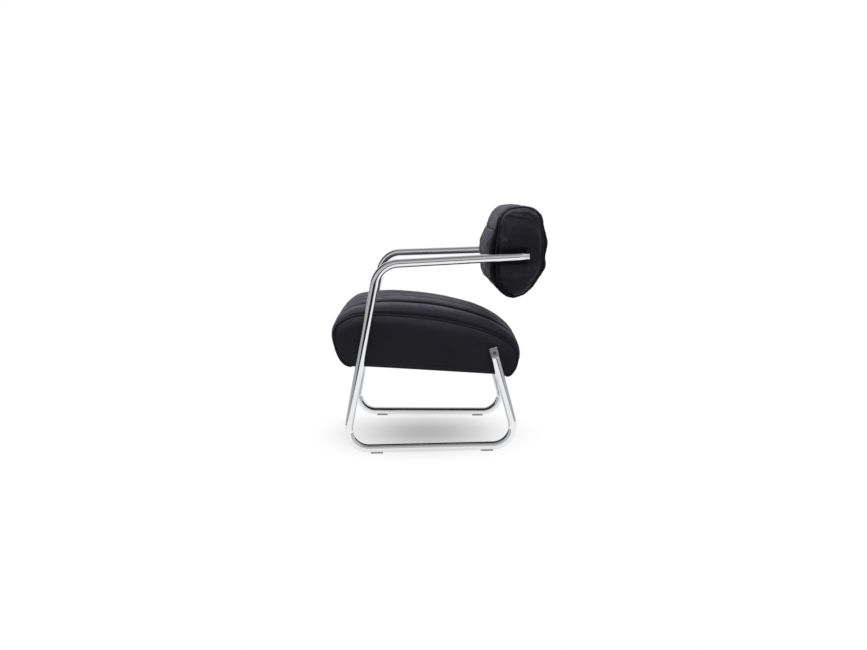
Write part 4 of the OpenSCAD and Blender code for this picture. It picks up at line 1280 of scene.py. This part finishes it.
@dataclass
class Backrest:
    """Padded roll between the arms, with channels across and a puffed panel at each end."""

    frame: TubeFrame
    base_z: float = 0.448
    height: float = 0.276
    front_y: float = 0.1385
    depth: float = 0.191
    roll: float = 0.026
    crown: float = 0.003
    groove: float = 0.0085
    panel_t: float = 0.008
    curl: float = 0.004
    crease: float = 0.006
    crease_w: float = 0.019
    dimple: float = 0.006
    pucker: tuple[float, float] = (-0.030, 0.118)
    soft_gap: float = 0.0003
    reach: float = 0.0228
    puff: float = 0.021
    puff_ease: float = 0.065
    pinch: float = 0.022
    rim_rise: float = 0.013
    pleat_h: float = 0.0028
    pleat_l: float = 0.026
    pleat_w: float = 0.0045
    groove_ease: float = 0.030
    seam_cut: float = 0.0018
    seam_w: float = 0.0026
    # Unevenness of the padding: size of the lumps, seed and height.
    ripples: tuple[tuple[float, int, float], ...] = ((0.07, 5, 0.0013), (0.027, 8, 0.0006))
    gather_h: float = 0.0009
    gather_w: float = 0.012
    # Reach of the shade painted into the roll's grooves
    groove_shade_w: float = 0.0045
    soft_ease: float = 0.02
    dimple_w: float = 0.026
    dimple_back: float = 0.012
    arm_stop: float = 0.006
    pull_h: float = 0.0010
    pull_w: float = 0.024
    pull_ease: float = 0.014
    pulls: int = 7
    panel_lump: float = 0.05
    panel_lump_h: float = 0.0014
    arm_hold: float = 0.020
    arm_hold_ease: float = 0.008
    curls_past: tuple[float, ...] = (0.0016, 0.0032, 0.0048, 0.0063, 0.0085)
    spread: float = 0.46
    # Painted shade that darkens the roll broadly towards its ends, from this share across, and beside the end seams
    shade_from: float = 0.80
    shade: float = 0.5
    seam_shade_from: float = 0.9955
    welt_r: float = 0.0036
    welt_sunk: float = 0.0012
    # Side view of the roll: shares of the depth, of the height and of the rounding, then 1 at a groove.
    shares: tuple[tuple[float, float, float, int], ...] = (
        (0.44, 0, 0.08, 0), (0.66, 0.052, 0.1, 0), (0.835, 0.168, 0.25, 1), (0.95, 0.3, 0.38, 0),
        (0.985, 0.435, 0.42, 1), (1, 0.59, 0.42, 0), (0.97, 0.74, 0.34, 1), (0.885, 0.895, 0.12, 0),
        (0.715, 0.975, 0.02, 0), (0.53, 0.99, 0.02, 0), (0.335, 0.965, 0.06, 0), (0.195, 0.876, 0.2, 0),
        (0.1, 0.75, 0.6, 1), (0.024, 0.62, 0.85, 0), (-0.006, 0.51, 0.9, 0), (0.004, 0.405, 0.9, 1),
        (0.02, 0.28, 0.82, 0), (0.096, 0.16, 0.55, 1), (0.245, 0.055, 0.25, 0),
    )

    def __post_init__(self) -> None:
        """Works out the outline, the grooves' places on it and the arm's line."""
        rows = [(s[0] * self.depth + self.front_y, s[1] * self.height + self.base_z, s[2]) for s in self.shares]
        steps = 16
        self.outline = Outline(spline(rows, steps, closed=True), closed=True, turn=-1.0)
        self.grooves = np.array([self.outline.share[i * steps] for i, s in enumerate(self.shares) if s[3]])
        start, end = self.frame.points(Side.LEFT)[3:]
        self.arm_end = np.array([end.y, end.z])
        self.arm_way = unit(np.array([end.y - start.y, end.z - start.z]))
        self.hub = np.array([self.front_y + self.depth / 2, end.z])
        self.toe = math.atan((start.x - end.x) / (end.y - start.y))

    def half_w(self, y: np.ndarray | float) -> np.ndarray | float:
        """Half the backrest's width at y."""
        return self.frame.arm_x(y) - self.reach / math.cos(self.toe)

    def groove_gap(self, t: np.ndarray) -> np.ndarray:
        """Distance along the outline to the nearest groove."""
        d = np.abs(t[:, None] - self.grooves[None, :])
        return np.min(np.minimum(d, 1 - d), axis=1) * self.outline.length

    def cover_point(self, u: np.ndarray, t: np.ndarray, e: np.ndarray | float = 0.0, calm: bool = False) -> np.ndarray:
        """Points of the roll's cover.

        Args:
            u: share across, from -1 to 1.
            t: share round its outline.
            e: how far past the end seam, where the cover curls in.
            calm: leaves the small gathers out.

        Returns:
            Points in the chair's frame.
        """
        o = self.outline
        t = t % 1.0
        y, z, share = o.at(t, 0), o.at(t, 1), o.at(t, 2)
        n = o.out(t)
        gap = self.groove_gap(t)
        ends = 1 - np.abs(u) ** 16
        drop = share * self.roll * (1 - np.clip(1 - np.abs(u) ** 7, 0, 1) ** 0.25)
        drop = drop - self.crown * np.clip(share * 2, 0, 1) * (1 - u**2)
        drop = drop + self.groove * (1 - edge_round(gap, self.groove_ease, 2.0)) * ends
        drop = drop + self.seam_cut * np.exp(-((gap / self.seam_w) ** 2)) * ends
        if not calm:
            flat = np.stack([u * 0.2, np.cos(2 * math.pi * t) * 0.1, np.sin(2 * math.pi * t) * 0.1], axis=-1)
            soft = ripples(flat, self.ripples)
            gather = lumps(np.stack([u * 0.2, np.floor(t * 20), 0 * u], axis=-1), 0.009, 2)
            pleats = self.gather_h * gather * np.exp(-gap / self.gather_w) * ends
            drop = drop + soft * ends * edge_round(gap, self.soft_ease) + pleats
        turn = np.minimum(np.asarray(e) / self.curl, QUARTER) * np.ones_like(u)
        inward = self.curl * (1 - np.cos(turn)) + np.clip(e - self.curl * math.pi / 2, 0, None)
        drop = drop + self.curl * np.sin(turn)
        return np.stack([u * self.half_w(y) - np.sign(u) * inward, y - n[:, 0] * drop, z - n[:, 1] * drop], axis=-1)

    def cover(self) -> bpy.types.Object:
        """The roll's cover, closed round its section."""
        rows, half = 190, 46
        knots = np.sin(np.linspace(-self.spread, self.spread, 2 * half + 1) * math.pi) / math.sin(self.spread * math.pi)
        share, u_knots, e_knots = with_curls(knots, np.array(self.curls_past))
        steps = np.arange(rows + 1)
        lines = np.round(self.grooves * rows)
        spread = np.interp(steps, np.concatenate([[0], lines, [rows]]), np.concatenate([[0], self.grooves, [1]]))

        def round_at(v: np.ndarray) -> np.ndarray:
            """Shares round the outline that put a row of the grid in each groove."""
            return np.interp(v * rows, steps, spread)

        def place(u: np.ndarray, v: np.ndarray) -> np.ndarray:
            """Bends the flat grid round the roll, its columns closer at the ends."""
            return self.cover_point(np.interp(u, share, u_knots), round_at(v), np.interp(u, share, e_knots))

        def held(u: np.ndarray, v: np.ndarray) -> np.ndarray:
            """Holds the end seams and the grooves."""
            near = np.min(np.abs(v[:, None] * rows - lines[None, :]), axis=1)
            ends = np.interp(u, share, np.where(np.abs(u_knots) > 0.9999, 1.0, 0.0))
            return np.maximum(near < 0.5, ends > 0.5) * 1.0

        def painted_shade(u: np.ndarray, v: np.ndarray) -> np.ndarray:
            """Paints shade into the leather down in the grooves, broadly towards the ends where the end panels shade
            the roll, and beside the end seams.
            """
            across = np.abs(np.interp(u, share, u_knots))
            groove = np.exp(-((self.groove_gap(round_at(v)) / self.groove_shade_w) ** 2)) * 0.8
            shade = np.clip((across - self.shade_from) / 0.20, 0, 1) ** 1.5 * self.shade
            seam = np.clip((across - self.seam_shade_from) / 0.0035, 0, 1) * 0.85
            return np.maximum(np.maximum(groove, shade), seam)

        return grid_piece("back_cover", len(u_knots) - 1, rows, place, weld=WELD / 2, held=held, painted_shade=painted_shade)

    def seam(self, t: np.ndarray) -> np.ndarray:
        """Points (y, z) of the end seam at shares t of the outline, with the width of the crease beside it."""
        at = self.cover_point(np.ones_like(t), t, calm=True)[:, 1:]
        return np.column_stack([at, self.crease_w * (0.25 + 0.75 * self.outline.at(t, 2))])

    def arm_gap(self, at: np.ndarray) -> np.ndarray:
        """Distance of points (y, z) from the arm's centre line, which stops near its end."""
        rel = at - (self.arm_end - self.arm_way * self.arm_stop)
        along = np.minimum(rel @ self.arm_way, 0)
        return np.linalg.norm(rel - along[:, None] * self.arm_way, axis=1)

    def panel(self, side: Side) -> bpy.types.Object:
        """The puffed end panel, pinched along the arm."""
        rim_line = Outline(self.seam(np.linspace(0, 1, 400, endpoint=False)), closed=True, turn=-1.0)

        def spot(t: np.ndarray, v: np.ndarray) -> tuple[np.ndarray, np.ndarray]:
            """Place (y, z) and distance from the seam, for shares round it and inwards from it."""
            rim = rim_line.place(t)
            at = rim + (self.hub - rim) * (v**1.7)[:, None]
            return at, np.abs(np.sum((rim - at) * rim_line.out(t), axis=-1))

        def place(t: np.ndarray, v: np.ndarray) -> np.ndarray:
            """Bends the grid round the seam, from the rim at v 0 to the middle at v 1."""
            at, d = spot(t, v)
            gap = self.arm_gap(at)
            end = np.linalg.norm(at - (self.arm_end - self.arm_way * self.dimple_back), axis=1)
            swelling = self.puff * (1 - np.exp(-((gap / self.pinch) ** 2) / 2)) * edge_round(d, self.puff_ease, 1.8)
            free = np.clip(gap / self.soft_ease, 0, 1)
            swelling = swelling - self.dimple * np.exp(-((end / self.dimple_w) ** 2) / 2) * free
            fold = self.arm_end + self.pucker - at
            along, across = fold[:, 0] / self.pleat_l, (fold[:, 1] + fold[:, 0] * 0.2) / self.pleat_w
            swelling = swelling + self.pleat_h * np.exp(-(along**2) - across**2)
            rise = edge_round(np.clip(d - rim_line.at(t, 2), 0, None), self.rim_rise, 1.7)
            x = self.half_w(at[:, 0]) + self.soft_gap + (self.panel_t + self.crease) * rise - self.crease + swelling
            flat = np.stack([at[:, 0], at[:, 1], 0 * d], axis=-1)
            angle = np.arctan2(at[:, 1] - self.arm_end[1], at[:, 0] - self.arm_end[0])
            pull = np.cos(angle * self.pulls + 0.6) * self.pull_h * np.exp(-gap / self.pull_w)
            pull = pull * np.clip(gap / self.pull_ease, 0, 1)
            uneven = lumps(flat, self.panel_lump, 6) * self.panel_lump_h
            x = x + (uneven + pull) * np.clip(d / self.soft_ease, 0, 1) * free
            return np.stack([x * side.value, at[:, 0], at[:, 1]], axis=-1)

        def held(t: np.ndarray, v: np.ndarray) -> np.ndarray:
            """Holds the seam and the strip under the arm."""
            at, d = spot(t, v)
            under_arm = np.clip((self.arm_hold - self.arm_gap(at)) / self.arm_hold_ease, 0, 1)
            return np.where(d < rim_line.at(t, 2), 1.0, under_arm)

        def painted_shade(t: np.ndarray, v: np.ndarray) -> np.ndarray:
            """Paints shade into the leather in the crease round the seam."""
            d = spot(t, v)[1]
            return 0.85 * np.clip(1.15 - d / np.maximum(rim_line.at(t, 2), 0.004), 0, 1)

        return grid_piece(
            f"back_{side.label}_end", 230, 64, place, weld=WELD, flip=side is Side.LEFT, held=held, painted_shade=painted_shade
        )

    def welt(self, side: Side) -> bpy.types.Object:
        """Piping round an end seam."""
        t = np.linspace(0, 1, 260, endpoint=False)
        at = self.seam(t)
        n = self.outline.out(t) * (at[:, 2] * 0.5)[:, None]
        x = (self.half_w(at[:, 0]) - self.welt_sunk) * side.value
        line = np.stack([x, at[:, 0] - n[:, 0], at[:, 1] - n[:, 1]], axis=-1)
        return rod_piece(f"back_{side.label}_welt", line, self.welt_r, 12, closed=True)

    def groove_stitches(self) -> bpy.types.Object:
        """Stitches at the bottom of the roll's grooves."""
        u = np.arange(-0.94, 0.94, 0.03)
        lines = [self.cover_point(u, np.full_like(u, g), calm=True) for g in self.grooves]
        return stitch_piece("back_groove_stitches", lines)

    def build(self, finishes: Finishes) -> list[bpy.types.Object]:
        """Makes the whole backrest.

        Args:
            finishes: the chair's materials.

        Returns:
            The pieces.
        """
        cover = dress(self.cover(), finishes.leather)
        swell(cover, pressure=3.0, grow=0.025, cap=0.004)
        subdivide(cover, 1)
        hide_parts("back_cushion")
        made = [cover]
        for side in Side:
            panel = dress(self.panel(side), finishes.leather)
            swell(panel, pressure=2.0, grow=0.025, cap=0.0035)
            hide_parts(f"back_{side.label}_panel")
            made += [panel, dress(self.welt(side), finishes.leather)]
        made.append(dress(self.groove_stitches(), finishes.thread))
        return made


# ---------------------------------------------------------------- carried-over pieces


@dataclass(frozen=True)
class InnerWork:
    """CAD pieces that stay as they are and only get their materials."""

    wood: tuple[str, ...] = (
        "seat_left_rail", "seat_right_rail", "seat_front_rail", "seat_rear_rail", "seat_corner_blocks",
        "back_left_board", "back_right_board", "back_upper_stretcher", "back_lower_stretcher",
    )
    steel: tuple[str, ...] = (
        "threaded_bushes", "leg_bolts", "upright_screws", "arm_bolts", "flat_washers", "seat_rail_screws",
        "back_stretcher_screws",
    )
    webbing: tuple[str, ...] = ("seat_long_belts", "seat_cross_belts", "back_belts_front")
    plastic: tuple[str, ...] = ("saddle_washers",)
    pale_plastic: tuple[str, ...] = ("floor_glides",)
    brass: tuple[str, ...] = ("rail_inserts",)

    def build(self, nodes: dict[str, bpy.types.Object], finishes: Finishes) -> int:
        """Dresses the nodes.

        Args:
            nodes: the CAD nodes by name.
            finishes: the chair's materials.

        Returns:
            How many nodes were dressed.
        """
        count = 0
        for names, material in (
            (self.wood, finishes.wood),
            (self.steel, finishes.steel),
            (self.webbing, finishes.webbing),
            (self.plastic, finishes.plastic),
            (self.pale_plastic, finishes.pale_plastic),
            (self.brass, finishes.brass),
        ):
            for name in names:
                mesh = nodes[name].data
                mesh.materials.clear()
                mesh.materials.append(material)
                count += 1
        return count


# ---------------------------------------------------------------- studio


@dataclass(frozen=True)
class Lamp:
    """Rectangular soft lamp that faces the chair."""

    name: str
    place: tuple[float, float, float]
    size: tuple[float, float]
    watts: float
    mirrored: bool = False
    aim: tuple[float, float, float] = (0, 0, 0.35)

    def build(self) -> bpy.types.Object:
        """Adds the lamp to the scene."""
        data = bpy.data.lights.new(self.name, "AREA")
        data.shape, data.energy = "RECTANGLE", self.watts
        data.size, data.size_y = self.size
        lamp = bpy.data.objects.new(self.name, data)
        lamp.visible_glossy = self.mirrored
        lamp.location = self.place
        lamp.rotation_mode = "QUATERNION"
        lamp.rotation_quaternion = (Vector(self.place) - Vector(self.aim)).to_track_quat("Z", "Y")
        bpy.context.scene.collection.objects.link(lamp)
        return lamp


@dataclass(frozen=True)
class Studio:
    """Pale floor, white surroundings, soft lamps and the camera at the photograph's angle."""

    target: tuple[float, float, float] = (0.0, -0.01472, 0.34553)
    yaw: float = math.radians(0.8246)
    pitch: float = math.radians(7.0162)
    roll: float = math.radians(-0.339)
    distance: float = 3.55684
    focal_px: float = 1121.635
    image_w: int = 867
    floor_colour: Rgb = (0.84, 0.84, 0.86)
    mirror_reach: float = 2.1
    shade_centre: tuple[float, float, float] = (0.0, -0.04, 0.0)
    shade_size: tuple[float, float, float] = (0.50, 0.42, 1.0)
    shade_lift: float = 0.36
    bounce: float = 0.5
    sky: float = 0.42
    # What metal mirrors: brightness by the height of a direction, from -1 straight down to 1 straight up.
    near_side: Stops = (
        (-1.0, 0.8), (-0.35, 0.7), (-0.2, 0.45), (-0.05, 0.35), (0.08, 0.55), (0.4, 0.62), (0.7, 0.42), (0.9, 0.25),
        (1.0, 0.2),
    )
    far_side: Stops = (
        (-1.0, 0.8), (-0.34, 0.9), (-0.16, 0.5), (0.16, 0.45), (0.40, 0.8), (0.75, 0.85), (0.92, 0.4), (1.0, 0.2),
    )
    side_blend: tuple[float, float] = (-0.25, 0.35)
    # The dark gap below the horizon, which the near faces of the tubes mirror.
    gap_rises: tuple[float, float] = (-0.34, -0.27)
    gap_falls: tuple[float, float] = (-0.03, 0.03)
    gap_ahead: tuple[float, float] = (0.80, 0.93)
    gap_dark: float = 0.97
    # The dark flag over the front, which the arms' bends mirror.
    flag_way: tuple[float, float, float] = (-0.15, -0.75, 0.60)
    flag_edge: tuple[float, float] = (0.78, 0.92)
    flag_dark: float = 0.9
    top: Lamp = Lamp("top_lamp", (0.0, 0.35, 2.4), (1.5, 1.5), 42)
    for_hides: tuple[Lamp, ...] = (
        Lamp("hide_key", (-0.50, -1.05, 2.30), (1.2, 1.2), 140),
        Lamp("hide_box", (0.8, -0.3, 2.1), (2.0, 2.0), 32, mirrored=True),
    )

    def camera(self) -> bpy.types.Object:
        """Places the camera."""
        a = math.radians(90) - self.yaw
        level = math.cos(self.pitch)
        back = Vector((math.sin(a) * level, -math.cos(a) * level, math.sin(self.pitch)))
        right = Vector((0, 0, 1)).cross(back).normalized()
        up = back.cross(right)
        c, s = math.cos(self.roll), math.sin(self.roll)
        rolled = c * right + s * up, -s * right + c * up
        data = bpy.data.cameras.new("camera")
        data.sensor_width = 36
        data.lens = self.focal_px * 36 / self.image_w
        data.clip_start, data.clip_end = 0.05, 60
        camera = bpy.data.objects.new("camera", data)
        eye = Vector(self.target) + back * self.distance
        basis = Matrix((rolled[0], rolled[1], back)).transposed().to_4x4()
        camera.matrix_world = Matrix.Translation(eye) @ basis
        bpy.context.scene.collection.objects.link(camera)
        bpy.context.scene.camera = camera
        return camera

    def floor(self) -> bpy.types.Object:
        """Pale floor that keeps the chair's shadow and turns plain white further out."""
        bm = bmesh.new()
        bmesh.ops.create_grid(bm, x_segments=2, y_segments=2, size=14)
        floor = mesh_piece("floor", bm)
        material, n, place = start_material("studio_floor")
        reach = n.vector("LENGTH", place).outputs["Value"]
        middle = n.vector("SUBTRACT", place, self.shade_centre).outputs[0]
        across = n.vector("DIVIDE", middle, self.shade_size).outputs[0]
        shade = n.vector("LENGTH", across).outputs["Value"]
        paths = n.add("LightPath")
        seen = n.math("MAXIMUM", paths.outputs["Is Camera Ray"], paths.outputs["Is Glossy Ray"])
        plain = n.math("MULTIPLY", seen, n.span(shade, 0.0, 0.95, self.shade_lift, 1.0))
        tone = n.mix(paths.outputs["Is Camera Ray"], (self.bounce,) * 3, self.floor_colour)
        diffuse = n.add("BsdfDiffuse", Color=tone)
        glow = n.add("Emission", Color=(1, 1, 1, 1), Strength=1.0)
        ground = n.add("MixShader", Fac=plain, n1=diffuse.outputs[0], n2=glow.outputs[0])
        gone = n.math("MULTIPLY", paths.outputs["Is Glossy Ray"], n.math("GREATER_THAN", reach, self.mirror_reach))
        clear = n.add("BsdfTransparent", Color=(1, 1, 1, 1))
        shown = n.add("MixShader", Fac=gone, n1=ground.outputs[0], n2=clear.outputs[0])
        n.add("OutputMaterial", Surface=shown.outputs[0])
        floor.data.materials.append(material)
        return floor

    def ramp(self, n: Nodes, value: Socket, stops: Stops) -> Socket:
        """Brightness looked up by the height of a direction, from -1 straight down to 1 straight up."""
        node = n.add("ValToRGB", n0=n.span(value, -1, 1, smooth=False))
        bands = node.color_ramp.elements
        while len(bands) < len(stops):
            bands.new(0.5)
        for band, (height, level) in zip(bands, stops):
            band.position = (height + 1) / 2
            band.color = (level, level, level, 1)
        return node.outputs[0]

    def world(self) -> None:
        """White surroundings; the chrome and the hide mirror grey sides, a dark flag and a dark gap."""
        world = bpy.data.worlds.new("studio")
        bpy.context.scene.world = world
        world.use_nodes = True
        n = Nodes(world.node_tree)
        way = n.add("TexCoord").outputs["Generated"]
        axes = n.add("SeparateXYZ", n0=way)
        x, up = axes.outputs["X"], axes.outputs["Z"]
        near, far = self.ramp(n, up, self.near_side), self.ramp(n, up, self.far_side)
        both = n.mix(n.span(x, *self.side_blend), far, near)
        flat = n.vector("NORMALIZE", n.add("CombineXYZ", X=x, Y=axes.outputs["Y"]).outputs[0])
        ahead = n.add("SeparateXYZ", n0=flat.outputs[0]).outputs["X"]
        gap = n.math("MULTIPLY", n.span(up, *self.gap_rises), n.span(up, *self.gap_falls, 1.0, 0.0))
        dark = n.math("MULTIPLY", gap, n.span(ahead, *self.gap_ahead))
        aimed = n.vector("DOT_PRODUCT", way, Vector(self.flag_way).normalized()).outputs["Value"]
        flag = n.math("MULTIPLY", n.span(aimed, *self.flag_edge), self.flag_dark)
        kept = n.math("SUBTRACT", 1.0, n.math("MAXIMUM", n.math("MULTIPLY", dark, self.gap_dark), flag))
        level = n.math("MULTIPLY", both, kept)
        paths = n.add("LightPath")
        plain, shown, glossy = (
            n.add("Background", Color=(1, 1, 1, 1), Strength=strength).outputs[0] for strength in (self.sky, 1.0, level)
        )
        first = n.add("MixShader", Fac=paths.outputs["Is Glossy Ray"], n1=plain, n2=glossy)
        second = n.add("MixShader", Fac=paths.outputs["Is Camera Ray"], n1=first.outputs[0], n2=shown)
        n.add("OutputWorld", Surface=second.outputs[0])

    def light_hides(self, pieces: Sequence[bpy.types.Object]) -> None:
        """Adds the lamps overhead that only the leather pieces catch."""
        hides = bpy.data.collections.new("hides")
        for piece in pieces:
            hides.objects.link(piece)
        for lamp in self.for_hides:
            lamp.build().light_linking.receiver_collection = hides

    def build(self) -> None:
        """Sets up the whole studio."""
        bpy.context.scene.view_settings.view_transform = "Standard"
        self.camera()
        self.floor()
        self.world()
        self.top.build()


def main() -> None:
    """Builds the studio, then every sub-assembly in order, and reports each piece."""
    logging.basicConfig(level=logging.INFO, format="%(name)s: %(message)s")
    studio = Studio()
    studio.build()
    finishes = Finishes()
    tubes = TubeFrame()
    made: list[bpy.types.Object] = []
    for side in Side:
        made += tubes.build(side, finishes)
    made += Seat(tubes).build(finishes)
    made += Backrest(tubes).build(finishes)
    studio.light_hides([piece for piece in made if piece.data.materials[0] == finishes.leather])
    count = InnerWork().build(frame["nodes"], finishes)
    for piece in made:
        log.info("%s: %d faces", piece.name, len(piece.data.polygons))
    log.info("%d pieces made, %d CAD nodes dressed", len(made), count)


if __name__ == "__main__":
    main()
